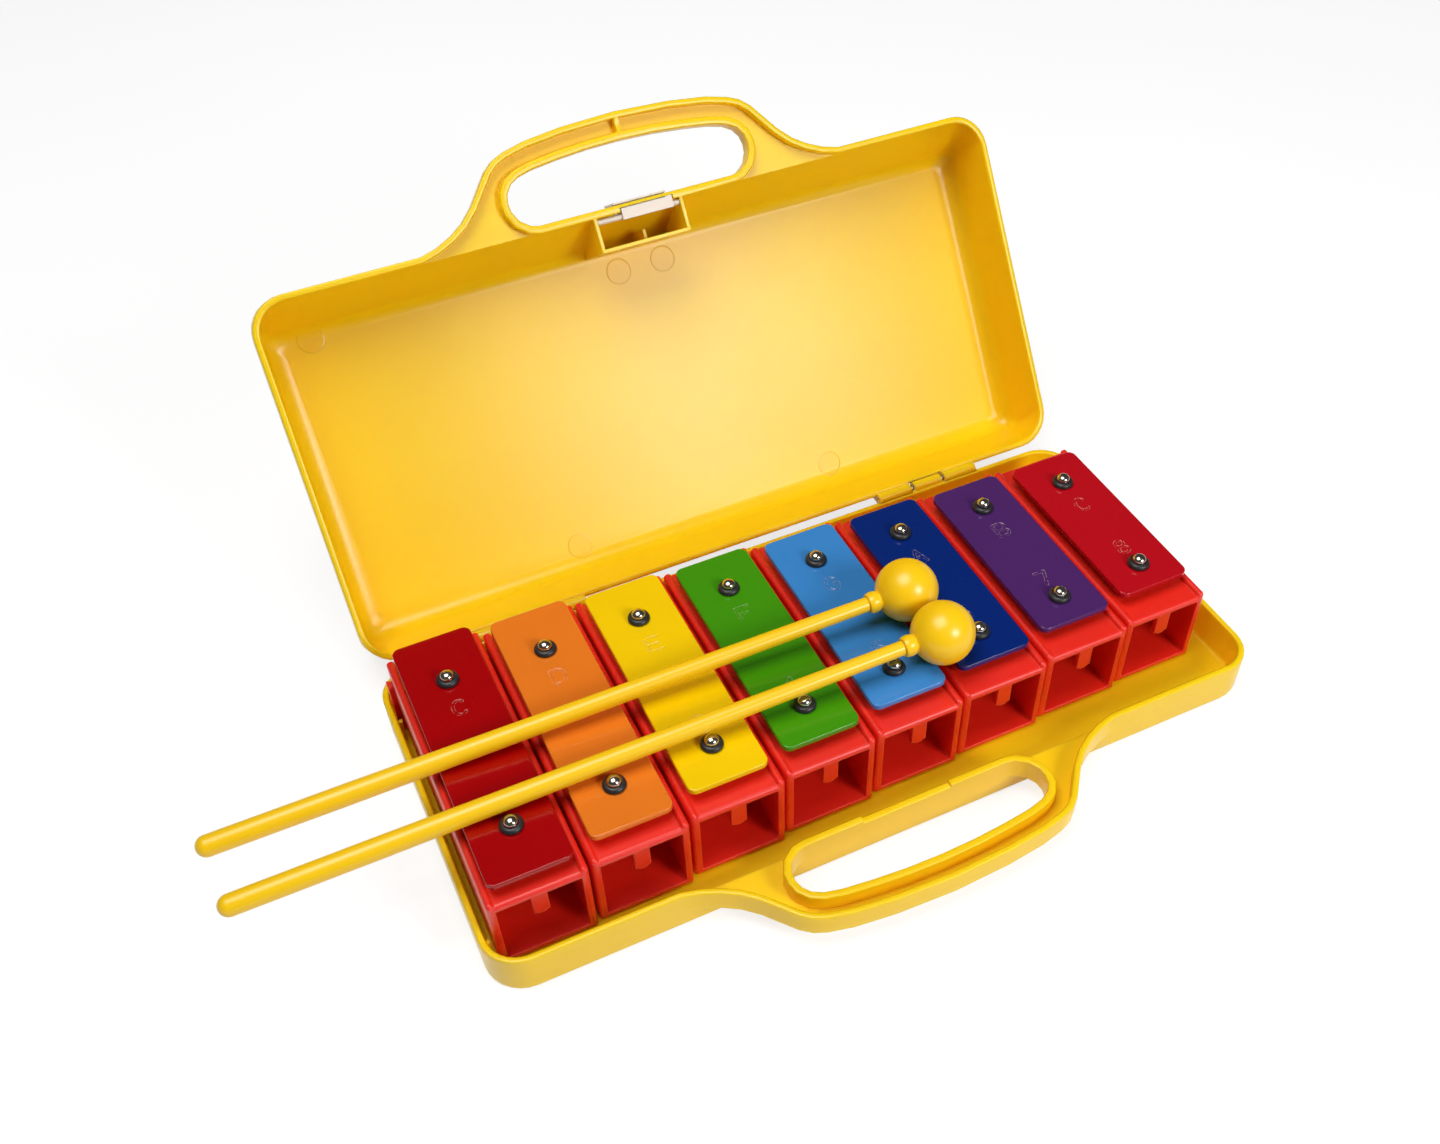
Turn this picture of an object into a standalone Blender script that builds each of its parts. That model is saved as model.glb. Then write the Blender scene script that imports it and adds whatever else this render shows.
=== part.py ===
"""Eight-note resonator bells in a hinged carrying case.

Millimetres are used below and turned to metres when a mesh is made. The world origin is at the
centre of the underside of the case base, +X runs towards the high notes, +Y towards the hinge
and +Z up. The case lid is modelled closed and then turned open about its hinge.
"""

import math

import bmesh
import bpy
from mathutils import Euler, Vector
from mathutils.geometry import tessellate_polygon

MM = 0.001

# Fits
SEAT_GAP = 0.05          # between faces that rest on each other
RUN_GAP = 0.30           # between pieces that slide or turn past each other
PIN_GAP = 0.20           # round a hinge pin in its bore

# Case outline, seen from above
CASE_WIDTH = 304.4
CASE_DEPTH = 140.0
CASE_CORNER = 14.0
CASE_WALL = 2.4
FOOT_HALF = 86.5         # half the width over which the handle grows out of the front
HANDLE_REACH = 33.2      # how far the handle stands out of the front
HANDLE_SHAPE = (
    (0.925, 0.05), (0.85, 0.135), (0.786, 0.24), (0.728, 0.383), (0.674, 0.557),
    (0.628, 0.705), (0.583, 0.8), (0.532, 0.856), (0.428, 0.92), (0.254, 0.972), (0.0, 1.0),
)                        # half outline as fractions of FOOT_HALF and HANDLE_REACH
HOLE_HALF = 49.2
HOLE_DEPTH = 22.8
HOLE_SHAPE = (
    (0.88, 0.03), (0.955, 0.15), (0.995, 0.32), (1.0, 0.46), (0.985, 0.6), (0.94, 0.73),
    (0.865, 0.82), (0.74, 0.885), (0.53, 0.94), (0.27, 0.985), (0.0, 1.0),
)                        # half outline as fractions of HOLE_HALF and HOLE_DEPTH
HOLE_BACK_HALF = 40.0
RING_WALL = 2.9          # the wall round the handle hole
CATCH_HALF = 17.4        # half width of the lowered part of the wall behind the handle hole
CATCH_DROP = 1.3

# Case base
BASE_RIM = 17.8
BASE_FLOOR = 2.2
BASE_EDGE = 1.6
HANDLE_UNDER = 8.8       # the handle's underside stands this far above the table
RISER_WALL = 2.6         # the tray's front below the handle's floor
RIM_ROUND = 0.5
STOP_RIBS_Y = (48.5, -54.5)
STOP_RIB = (1.7, 1.6, 11.0)   # proud of the wall, thickness, height

# Case lid, depths measured from its rim
LID_DEPTH = 29.5
LID_PANEL = 2.3
LID_STEP = 4.0           # depth of the handle's channel, where the walls start to lean
HANDLE_BACK = 6.2        # depth of the handle's outer face on the lid
LEAN_SIDE = 0.01
LEAN_BACK = 0.13
LEAN_FRONT = 0.44
FILLET_SIDE = 7.2
FILLET_BACK = 5.5
FILLET_FRONT = 4.0
DEEP_CORNER = 6.6        # plan radius of the lid's corners at full depth
GRIP_RIB = 2.0           # thickness of the rib across the lid's handle channel

# Hinge
HINGE_OUT = 1.4          # axis outside the back wall
HINGE_CENTRES = (-89.0, 89.0)
KNUCKLE_RADIUS = 2.5
PIN_RADIUS = 0.9
MIDDLE_HALF = 7.6
HINGE_NOTCH = 1.2        # further gap beside the middle knuckle
HINGE_HALF = 23.5
LID_OPEN = 125.14        # degrees from closed to the open stop

# Latch and its pocket inside the lid's front wall
POCKET_X = (-19.4, 17.4)
POCKET_BACK = 15.9       # from the outer face of the front wall to the pocket's far face
POCKET_WALL = 1.3
LATCH_AXIS = (4.4, 2.4)  # from the outer face of the front wall, and below the rim
LATCH_BAR_RADIUS = 1.1
LATCH_PLATE_X = (-7.8, 13.2)
LATCH_TAB_X = (-10.0, 11.6)
LATCH_WINDOW = (2.0, 7.6)
LATCH_TAB_LENGTH = 12.0

# Bells
NOTES = ("c", "d", "e", "f", "g", "a", "b", "c_high")
ROW_ROOM = 11.6          # left over beside the row, between the case's side walls
PITCH = (CASE_WIDTH - 2 * CASE_WALL - ROW_ROOM) / len(NOTES)
ROW_SHIFT = -3.72
BLOCK_GAP = 1.1
BLOCK_WIDTH = PITCH - BLOCK_GAP
BLOCK_WALL = 2.85
BLOCK_BOTTOM = BASE_FLOOR + RUN_GAP
BLOCK_DECK = 35.5
BLOCK_BEAD = 1.5
OPENING_BOTTOM = 5.2
OPENING_TOP = 33.3
BLOCK_FRONT = (-58.5, -57.3, -55.5, -53.4, -51.9, -50.4, -48.5, -46.8)
BLOCK_BACK = (57.0, 54.6, 54.0, 53.2, 51.2, 49.4, 47.3, 46.5)
BLOCK_BACK_WALL = 2.6
FRONT_ROUND = 1.5
BACK_CHAMFER = 0.7
LIP_HALF = 2.8
LIP_DROP = 10.8
LIP_THICK = 2.2
DOVETAIL_BACK = 3.0     # from a block's back to the middle of its dovetail
DOVETAIL_ROOT = 1.3
DOVETAIL_TIP = 2.2
DOVETAIL_DROP = 7.5      # below the deck
DOVETAIL_PROUD = 2.0
SOCKET_DEPTH = 1.5
BOSS_RADIUS = 3.4
BOSS_DROP = 9.0

# Tone bars
BAR_THICK = 2.5
BAR_INSET = 2.75
BAR_WIDTH = BLOCK_WIDTH - 2 * BAR_INSET
BAR_TOP = 42.1
BAR_CORNER = 3.0
BAR_EDGE = 0.35
BAR_CENTRE_Y = 0.7
BAR_LENGTH = (111.3, 105.0, 99.7, 95.3, 90.2, 86.0, 80.8, 77.6)
SCREW_BACK_Y = (33.6, 31.9, 31.0, 30.2, 29.0, 27.6, 25.9, 24.1)
SCREW_FRONT_Y = (-35.4, -35.2, -34.0, -32.5, -31.4, -29.8, -27.8, -26.8)

# Screws and grommets
HEAD_RADIUS = 2.6
HEAD_HEIGHT = 2.35
SHANK_RADIUS = 1.5
SHANK_DROP = 7.0         # below the deck
GROMMET_RADIUS = 4.15
GROMMET_NECK = 3.1
GROMMET_RISE = 2.1       # above the bar

# Mallets
BALL_RADIUS = 11.6
BALL_CENTRES = ((31.1, -9.3, 53.9), (32.3, -32.9, 53.6))
TAIL_CENTRES = ((-224.4, 0.5, 42.4), (-222.5, -25.0, 42.4))
TAIL_RADIUS = 3.8
TIP_RADIUS = 2.7
COLLAR_RADIUS = 3.9
COLLAR_LENGTH = 4.6
TIP_IN_BALL = 7.0        # the stick ends this far from the ball's centre
PUT_AWAY_Y = -118.0      # where the first mallet lies on the table once the case is closed
PUT_AWAY_STEP = -24.6

HINGE_Y = CASE_DEPTH / 2 + HINGE_OUT
FRONT_Y = -CASE_DEPTH / 2


# Materials

def material(name, colour, roughness, metallic=0.0, coat=0.0, transmission=0.0):
    """A Principled material with the piece's colour (linear), roughness and metallic value."""
    slot = bpy.data.materials.new(name)
    slot.use_nodes = True
    shader = slot.node_tree.nodes["Principled BSDF"]
    shader.inputs["Base Color"].default_value = (*colour, 1.0)
    shader.inputs["Roughness"].default_value = roughness
    shader.inputs["Metallic"].default_value = metallic
    shader.inputs["Coat Weight"].default_value = coat
    shader.inputs["Transmission Weight"].default_value = transmission
    slot.diffuse_color = (*colour, 1.0)
    return slot


# Mesh helpers

def arc(cx, cy, radius, start, end, steps):
    """Points on an arc, angles in degrees, both ends included."""
    turn = math.radians(end - start) / steps
    first = math.radians(start)
    return [
        (cx + radius * math.cos(first + turn * k), cy + radius * math.sin(first + turn * k))
        for k in range(steps + 1)
    ]


def offset_loop(points, distance):
    """A closed loop moved to its left by a distance, mitred at every point."""
    moved = []
    count = len(points)
    for k in range(count):
        here = Vector(points[k])
        into = (here - Vector(points[k - 1])).normalized()
        out = (Vector(points[(k + 1) % count]) - here).normalized()
        normal = Vector((-(into.y + out.y), into.x + out.x)).normalized()
        square = Vector((-into.y, into.x))
        moved.append(tuple(here + normal * (distance / max(0.3, normal.dot(square)))))
    return moved


def lift(points, height):
    """Plan points at a height, or at one height for each point."""
    if isinstance(height, (int, float)):
        height = [height] * len(points)
    return [(x, y, z) for (x, y), z in zip(points, height)]


def add_loop(bm, points):
    return [bm.verts.new(Vector(p) * MM) for p in points]


def bridge(bm, lower, upper):
    """Quads between two closed loops with as many points."""
    count = len(lower)
    for k in range(count):
        bm.faces.new((lower[k], lower[(k + 1) % count], upper[(k + 1) % count], upper[k]))


def fill(bm, *loops):
    """Triangles over a flat region inside the first loop and outside the others."""
    joined = [v for loop in loops for v in loop]
    for corners in tessellate_polygon([[v.co for v in loop] for loop in loops]):
        bm.faces.new([joined[k] for k in corners])


def fan(bm, loop):
    """Triangles from a flat convex loop to its middle."""
    middle = bm.verts.new(sum((v.co for v in loop), Vector()) / len(loop))
    for k in range(len(loop)):
        bm.faces.new((loop[k], loop[(k + 1) % len(loop)], middle))


def loft(bm, loops):
    """A skin through closed loops with as many points, open at both ends."""
    rows = [add_loop(bm, loop) for loop in loops]
    for lower, upper in zip(rows, rows[1:]):
        bridge(bm, lower, upper)
    return rows


def to_object(bm, name, slot=None):
    bmesh.ops.recalc_face_normals(bm, faces=bm.faces)
    mesh = bpy.data.meshes.new(name)
    bm.to_mesh(mesh)
    bm.free()
    obj = bpy.data.objects.new(name, mesh)
    bpy.context.scene.collection.objects.link(obj)
    if slot is not None:
        mesh.materials.append(slot)
    return obj


def prism(axis, loops, start, end):
    """A solid whose section (one loop, and holes in it) is extruded along an axis."""
    place = {
        "X": lambda u, v, w: (w, u, v),
        "Y": lambda u, v, w: (u, w, v),
        "Z": lambda u, v, w: (u, v, w),
    }[axis]
    bm = bmesh.new()
    ends = []
    for level in (start, end):
        ends.append([add_loop(bm, [place(u, v, level) for u, v in loop]) for loop in loops])
    for lower, upper in zip(*ends):
        bridge(bm, lower, upper)
    for caps in ends:
        fill(bm, *caps)
    return to_object(bm, "prism")


def box(x0, x1, y0, y1, z0, z1):
    return prism("Z", [[(x0, y0), (x1, y0), (x1, y1), (x0, y1)]], z0, z1)


def revolve(bm, profile, segments):
    """A skin turned about Z; profile points are (radius, height), ends at radius 0 are poles."""
    rows = []
    for radius, height in profile:
        if radius == 0.0:
            rows.append([bm.verts.new(Vector((0.0, 0.0, height)) * MM)])
            continue
        ring = arc(0.0, 0.0, radius, 0.0, 360.0, segments)[:-1]
        rows.append(add_loop(bm, lift(ring, height)))
    closed = len(rows[0]) > 1 and len(rows[-1]) > 1
    pairs = list(zip(rows, rows[1:] + rows[:1])) if closed else list(zip(rows, rows[1:]))
    for lower, upper in pairs:
        if len(lower) > 1 and len(upper) > 1:
            bridge(bm, lower, upper)
            continue
        pole, ring = (lower[0], upper) if len(lower) == 1 else (upper[0], lower)
        for k in range(segments):
            bm.faces.new((ring[k], ring[(k + 1) % segments], pole))


def combine(obj, adds=(), cuts=(), solver="EXACT"):
    """Joins and cuts closed meshes; the helpers are removed afterwards."""
    for helper, kind in [(h, "UNION") for h in adds] + [(h, "DIFFERENCE") for h in cuts]:
        step = obj.modifiers.new(kind.title(), "BOOLEAN")
        step.operation = kind
        step.solver = solver
        step.object = helper
    graph = bpy.context.evaluated_depsgraph_get()
    graph.update()
    result = bpy.data.meshes.new_from_object(obj.evaluated_get(graph))
    obj.modifiers.clear()
    old = obj.data
    obj.data = result
    result.name = old.name
    bpy.data.meshes.remove(old)
    for helper in (*adds, *cuts):
        mesh = helper.data
        bpy.data.objects.remove(helper)
        bpy.data.meshes.remove(mesh)
    bm = bmesh.new()
    bm.from_mesh(result)
    bmesh.ops.remove_doubles(bm, verts=bm.verts, dist=0.00001)
    bmesh.ops.dissolve_degenerate(bm, edges=bm.edges, dist=0.00001)
    bm.to_mesh(result)
    bm.free()
    return obj


def finish(obj, name, slot, parent=None):
    """Names a piece, gives it its material and parents it without moving it."""
    obj.name = name
    obj.data.name = name
    obj.data.materials.clear()
    obj.data.materials.append(slot)
    for face in obj.data.polygons:
        face.material_index = 0
    if parent is not None:
        obj.parent = parent
    return obj


def empty(name, location, parent=None):
    pivot = bpy.data.objects.new(name, None)
    pivot.empty_display_size = 0.01
    pivot.location = Vector(location) * MM
    bpy.context.scene.collection.objects.link(pivot)
    if parent is not None:
        pivot.parent = parent
    return pivot


# Case outline

def body_loop(side=0.0, back=0.0, front=0.0, corner=CASE_CORNER):
    """The case without its handle, from the handle's right foot round to its left foot."""
    half_x = CASE_WIDTH / 2 - side
    y_front = FRONT_Y + front
    y_back = -FRONT_Y - back
    cx = half_x - corner
    loop = [(FOOT_HALF, y_front)]
    loop += arc(cx, y_front + corner, corner, -90, 0, 7)
    loop += arc(cx, y_back - corner, corner, 0, 90, 7)
    loop += arc(-cx, y_back - corner, corner, 90, 180, 7)
    loop += arc(-cx, y_front + corner, corner, 180, 270, 7)
    loop += [(-FOOT_HALF, y_front)]
    return loop


BODY_POINTS = len(body_loop())


def handle_run():
    """The handle's outline from the left foot to the right foot, without the feet."""
    half = [(FOOT_HALF * u, FRONT_Y - HANDLE_REACH * v) for u, v in HANDLE_SHAPE]
    return [(-x, y) for x, y in half[:-1]] + half[::-1]


def hole_loop():
    """The handle hole, starting with its straight back edge from right to left."""
    half = [(HOLE_HALF * u, FRONT_Y - HOLE_DEPTH * v) for u, v in HOLE_SHAPE]
    back = [HOLE_BACK_HALF, CATCH_HALF + 0.15, CATCH_HALF - 0.15]
    loop = [(x, FRONT_Y) for x in back] + [(-x, FRONT_Y) for x in back[::-1]]
    return loop + [(-x, y) for x, y in half[:-1]] + half[::-1]


BACK_POINTS = 6          # points of the hole's straight back edge


def catch_heights(level, sign):
    """Rim heights round the ring about the hole, lowered along the catch."""
    heights = [level] * len(hole_loop())
    for k in (2, 3):
        heights[k] = level + sign * CATCH_DROP
    return heights


# Hinge

def knuckle(x0, x1, side):
    """A hinge knuckle about the axis at y 0, z 0; side is -1 for the base's and 1 for the lid's."""
    radius = KNUCKLE_RADIUS
    round_part = arc(0.0, 0.0, radius, -52 * -side, 180 * -side, 14)
    foot = [(-HINGE_OUT - 1.1, side * 5.6), (-HINGE_OUT + 0.25, side * 5.6)]
    outer = [(y, z) for y, z in round_part] + foot
    bore = arc(0.0, 0.0, PIN_RADIUS + PIN_GAP, 0, 360, 14)[:-1]
    return prism("X", [outer, bore], x0, x1)


def recess(x0, x1, z0, z1):
    """Room in a wall for the other half's knuckle, relative to the hinge axis."""
    reach = KNUCKLE_RADIUS + RUN_GAP
    return box(x0 - RUN_GAP, x1 + RUN_GAP, -reach, reach + 1.0, z0, z1)


# Case base

def raised_floor(outline, hole):
    """The handle's floor on a block that fills the handle below it, down into the tray's floor."""
    middle = offset_loop(outline, CASE_WALL / 2)
    back = FRONT_Y + RISER_WALL
    edge = [(-FOOT_HALF, back)] + middle[BODY_POINTS - 1:] + middle[:1] + [(FOOT_HALF, back)]
    window = offset_loop(hole, -RING_WALL / 2)
    return prism("Z", [edge, window], BASE_FLOOR / 2, HANDLE_UNDER + BASE_FLOOR)


def room_under_handle():
    """All that lies under the handle, up to the tray's front with its rounded foot."""
    face = FRONT_Y - 0.02
    far = FRONT_Y - HANDLE_REACH - 4.0
    section = [
        (far, -1.0), (FRONT_Y + BASE_EDGE, -1.0), (FRONT_Y + BASE_EDGE, 0.0),
        (FRONT_Y + BASE_EDGE * 0.3, BASE_EDGE * 0.3), (face, BASE_EDGE),
        (face, HANDLE_UNDER), (far, HANDLE_UNDER),
    ]
    return prism("X", [section], -FOOT_HALF, FOOT_HALF)


def make_case_base(slot):
    outline = body_loop() + handle_run()
    inner = [
        (CASE_WALL - RIM_ROUND, BASE_RIM),
        (CASE_WALL, BASE_RIM - RIM_ROUND),
        (CASE_WALL, BASE_FLOOR + BASE_EDGE),
        (CASE_WALL + BASE_EDGE * 0.3, BASE_FLOOR + BASE_EDGE * 0.3),
        (CASE_WALL + BASE_EDGE, BASE_FLOOR),
    ]
    outer = [
        (BASE_EDGE, 0.0),
        (BASE_EDGE * 0.3, BASE_EDGE * 0.3),
        (0.0, BASE_EDGE),
        (0.0, BASE_RIM - RIM_ROUND),
        (RIM_ROUND, BASE_RIM),
    ]
    bm = bmesh.new()
    skin = loft(bm, [lift(offset_loop(outline, inset), z) for inset, z in outer + inner])
    hole = hole_loop()
    ring = [
        (-RING_WALL, BASE_FLOOR), (-RING_WALL, BASE_RIM - RIM_ROUND),
        (RIM_ROUND - RING_WALL, BASE_RIM), (-RIM_ROUND, BASE_RIM),
        (0.0, BASE_RIM - RIM_ROUND), (0.0, 0.0),
    ]
    wall = [
        lift(offset_loop(hole, grow), catch_heights(z, -1) if z > BASE_EDGE * 2 else z)
        for grow, z in ring
    ]
    rows = loft(bm, wall)
    for edge, ring_edge in ((skin[-1], rows[0]), (skin[0], rows[-1])):
        fan(bm, edge[:BODY_POINTS])
        fill(bm, edge[BODY_POINTS - 1:] + edge[:1], ring_edge)
    base = to_object(bm, "case_base")

    combine(base, [raised_floor(outline, hole)], [room_under_handle()])
    adds = []
    cuts = []
    for centre in HINGE_CENTRES:
        reach = MIDDLE_HALF - HINGE_NOTCH
        adds.append(knuckle(centre - reach, centre + reach, -1))
        cuts.append(recess(centre - HINGE_HALF, centre - MIDDLE_HALF - RUN_GAP, -3.0, 9.0))
        cuts.append(recess(centre + MIDDLE_HALF + RUN_GAP, centre + HINGE_HALF, -3.0, 9.0))
    for helper in adds + cuts:
        helper.location = Vector((0.0, HINGE_Y, BASE_RIM)) * MM
    wall_x = -CASE_WIDTH / 2 + CASE_WALL
    proud, wide, tall = STOP_RIB
    for y in STOP_RIBS_Y:
        adds.append(box(
            wall_x - 0.9, wall_x + proud, y - wide / 2, y + wide / 2,
            BASE_FLOOR - 0.8, BASE_FLOOR + tall,
        ))
    return finish(combine(base, adds, cuts), "case_base", slot)


# Case lid

def lid_inset(depth, thick, lean, radius, start=0.0):
    """How far a leaning wall with a rounded foot stands in at a depth, from its rim line."""
    deep = LID_DEPTH if thick else LID_DEPTH + LID_PANEL
    bend = radius if thick else radius + LID_PANEL
    into = max(0.0, depth - (deep - bend))
    curve = bend - math.sqrt(max(0.0, bend * bend - into * into))
    return thick + lean * max(0.0, depth - start) + curve


def lid_loop(depth, thick):
    """The lid's body at a depth, for its inner face (thick = the wall) or its outer one (0)."""
    corner = CASE_CORNER + (DEEP_CORNER - CASE_CORNER) * min(1.0, depth / (0.6 * LID_DEPTH))
    loop = body_loop(
        side=lid_inset(depth, thick, LEAN_SIDE, FILLET_SIDE),
        back=lid_inset(depth, thick, LEAN_BACK, FILLET_BACK),
        front=lid_inset(depth, thick, LEAN_FRONT, FILLET_FRONT, LID_STEP),
        corner=max(2.5, corner - thick),
    )
    return loop


def lid_depths(first, thick):
    """Depths of the loops from a first one down to the panel, close together in the fillet."""
    deep = LID_DEPTH if thick else LID_DEPTH + LID_PANEL
    bend = (FILLET_SIDE if thick else FILLET_SIDE + LID_PANEL)
    turns = [deep - bend + bend * math.sin(math.radians(a)) for a in (0, 25, 48, 68, 90)]
    return [first, 0.6 * LID_DEPTH] + turns


def with_handle(body, inset):
    """A loop whose body part is given and whose handle part is the outline moved inwards."""
    return body + offset_loop(body_loop() + handle_run(), inset)[BODY_POINTS:]


def make_case_lid(slot):
    """Modelled closed: y as in the base, z as depth from the rim, origin on the hinge axis."""
    outline = body_loop() + handle_run()
    hole = hole_loop()
    bm = bmesh.new()
    edge = HANDLE_BACK - 0.8
    rows = loft(bm, [
        lift(with_handle(lid_loop(HANDLE_BACK, 0.0), 0.8), HANDLE_BACK),
        lift(with_handle(lid_loop(edge, 0.0), 0.0), edge),
        lift(outline, RIM_ROUND),
        lift(offset_loop(outline, RIM_ROUND), SEAT_GAP),
        lift(offset_loop(outline, CASE_WALL - RIM_ROUND), SEAT_GAP),
        lift(offset_loop(outline, CASE_WALL), RIM_ROUND),
        lift(with_handle(lid_loop(LID_STEP, CASE_WALL), CASE_WALL), LID_STEP),
    ])
    back_row, channel_row = rows[0], rows[-1]

    ring_rows = loft(bm, [
        lift(offset_loop(hole, grow), z) for grow, z in (
            (-RING_WALL, LID_STEP), (-RING_WALL, RIM_ROUND), (RIM_ROUND - RING_WALL, SEAT_GAP),
            (-RIM_ROUND, SEAT_GAP), (0.0, RIM_ROUND), (0.0, HANDLE_BACK),
        )
    ])
    ring_foot = ring_rows[0]
    for vert in ring_foot[:BACK_POINTS]:
        vert.co.y = channel_row[0].co.y
    fill(bm, channel_row[BODY_POINTS - 1:] + channel_row[:1] + ring_foot[:1]
         + ring_foot[:BACK_POINTS - 2:-1])

    run_x = [v.co.x / MM for v in ring_foot[BACK_POINTS - 1::-1]]
    previous = channel_row[:BODY_POINTS] + ring_foot[BACK_POINTS - 1::-1]
    for depth in lid_depths(LID_STEP, CASE_WALL)[1:]:
        loop = lid_loop(depth, CASE_WALL)
        row = add_loop(bm, lift(loop + [(x, loop[0][1]) for x in run_x], depth))
        bridge(bm, previous, row)
        previous = row
    fan(bm, previous)

    fill(bm, back_row[BODY_POINTS - 1:] + back_row[:1], ring_rows[-1])
    previous = back_row[:BODY_POINTS]
    for depth in lid_depths(HANDLE_BACK, 0.0)[1:]:
        row = add_loop(bm, lift(lid_loop(depth, 0.0), depth))
        bridge(bm, previous, row)
        previous = row
    fan(bm, previous)
    for vert in bm.verts:
        vert.co.y -= HINGE_Y * MM
    lid = to_object(bm, "case_lid")

    adds, cuts = lid_fittings()
    combine(lid, adds)
    combine(lid, cuts=cuts, solver="MANIFOLD")
    lid.location = Vector((0.0, HINGE_Y, BASE_RIM)) * MM
    lid.rotation_euler = Euler((-math.radians(LID_OPEN), 0.0, 0.0))
    return finish(lid, "case_lid", slot)


def lid_fittings():
    """Hinge knuckles, latch pocket, grip rib and the openings that go with them."""
    adds = []
    cuts = []
    for centre in HINGE_CENTRES:
        middle = centre - MIDDLE_HALF - RUN_GAP
        adds.append(knuckle(centre - HINGE_HALF + RUN_GAP, middle - RUN_GAP, 1))
        adds.append(knuckle(2 * centre - middle + RUN_GAP, centre + HINGE_HALF - RUN_GAP, 1))
        cuts.append(recess(centre - MIDDLE_HALF, centre + MIDDLE_HALF, -9.0, 3.0))

    front = FRONT_Y - HINGE_Y
    left, right = POCKET_X
    far = front + POCKET_BACK
    top = 0.25
    deep = LID_DEPTH + 0.7
    near = front + CASE_WALL / 2
    bend = LID_DEPTH - FILLET_FRONT
    foot = front + lid_inset(deep - 0.2, 0.0, LEAN_FRONT, FILLET_FRONT, LID_STEP) + 1.0
    side_wall = [
        (near, top + 0.1), (far - 0.1, top + 0.1), (far - 0.1, deep - 0.2), (foot, deep - 0.2),
        (near + LEAN_FRONT * (bend - LID_STEP), bend), (near, LID_STEP),
    ]
    adds.append(prism("X", [side_wall], left, left + POCKET_WALL))
    adds.append(prism("X", [side_wall], right - POCKET_WALL, right))
    adds.append(box(left + 0.4, right - 0.4, far - POCKET_WALL, far, top, deep))
    rib_front = far - POCKET_WALL - 4.0
    rib = [
        (rib_front, 9.0), (far - 0.9, 9.0), (far - 0.9, deep - 0.3), (foot, deep - 0.3),
        (rib_front, bend),
    ]
    adds.append(prism("X", [rib], 0.8, 2.0))
    adds.append(box(
        -GRIP_RIB / 2, GRIP_RIB / 2,
        front - HANDLE_REACH + 1.2, front - HOLE_DEPTH - 1.2, top, LID_STEP + 0.8,
    ))
    window_top, window_bottom = LATCH_WINDOW
    window_x = (LATCH_TAB_X[0] - 2.2, LATCH_PLATE_X[1] + 2.0)
    cuts.append(box(*window_x, front - 1.5, front + CASE_WALL + 3.4, window_top, window_bottom))
    cuts.append(box(
        LATCH_PLATE_X[0] - 0.5, LATCH_PLATE_X[1] + 0.5,
        front + 1.2, front + CASE_WALL + 1.5, -1.0, window_top + 1.0,
    ))
    axis_y = front + LATCH_AXIS[0]
    bore = [arc(axis_y, LATCH_AXIS[1], LATCH_BAR_RADIUS + PIN_GAP, 0, 360, 14)[:-1]]
    cuts.append(prism("X", bore, left + 0.6, right - 0.6))
    return adds, cuts


def make_hinge_pin(centre, slot, name, parent):
    bm = bmesh.new()
    half = HINGE_HALF - 1.0
    edge = 0.25
    revolve(bm, [
        (0.0, -half), (PIN_RADIUS - edge, -half), (PIN_RADIUS, -half + edge),
        (PIN_RADIUS, half - edge), (PIN_RADIUS - edge, half), (0.0, half),
    ], 12)
    pin = to_object(bm, name)
    pin.location = Vector((centre, HINGE_Y, BASE_RIM)) * MM
    pin.rotation_euler = Euler((0.0, math.pi / 2, 0.0))
    return finish(pin, name, slot, parent)


# Latch, about its own axis and in the lid's closed directions

def make_latch(slot, lid):
    bar_end = POCKET_WALL - 0.9
    left = POCKET_X[0] + POCKET_WALL - bar_end
    right = POCKET_X[1] - POCKET_WALL + bar_end
    bar = prism("X", [arc(0.0, 0.0, LATCH_BAR_RADIUS, 0, 360, 14)[:-1]], left, right)
    wall = -LATCH_AXIS[0]
    rim = -LATCH_AXIS[1]
    plate = [
        (1.35, rim + 0.15), (wall + 1.5, rim + 0.15), (wall + 1.5, rim + 1.5),
        (-1.0, 0.9), (1.35, 0.9),
    ]
    window_top, window_bottom = (level - LATCH_AXIS[1] for level in LATCH_WINDOW)
    tab = [
        (0.4, window_top + 1.0), (wall - 0.35, window_top + 1.0), (wall - 0.5, window_top - 0.8),
        (wall - 1.15, window_top - 0.5), (wall - 1.5, LATCH_TAB_LENGTH),
        (wall - 0.5, LATCH_TAB_LENGTH), (wall - 0.35, window_bottom - 1.2),
        (0.4, window_top + 2.6),
    ]
    joined = combine(bar, [
        prism("X", [plate], *LATCH_PLATE_X),
        prism("X", [tab], *LATCH_TAB_X),
    ])
    joined.location = Vector((0.0, FRONT_Y - HINGE_Y + LATCH_AXIS[0], LATCH_AXIS[1])) * MM
    return finish(joined, "latch", slot, lid)


# Bells

def block_section():
    """Outline of a resonator block in x and z, with a rounded bead along each top edge."""
    half = BLOCK_WIDTH / 2
    bead = half - BLOCK_BEAD
    return (
        [(-half + 0.8, BLOCK_BOTTOM), (half - 0.8, BLOCK_BOTTOM), (half, BLOCK_BOTTOM + 0.8)]
        + arc(bead, BLOCK_DECK, BLOCK_BEAD, 0, 180, 7)
        + arc(-bead, BLOCK_DECK, BLOCK_BEAD, 0, 180, 7)
        + [(-half, BLOCK_BOTTOM + 0.8)]
    )


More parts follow.
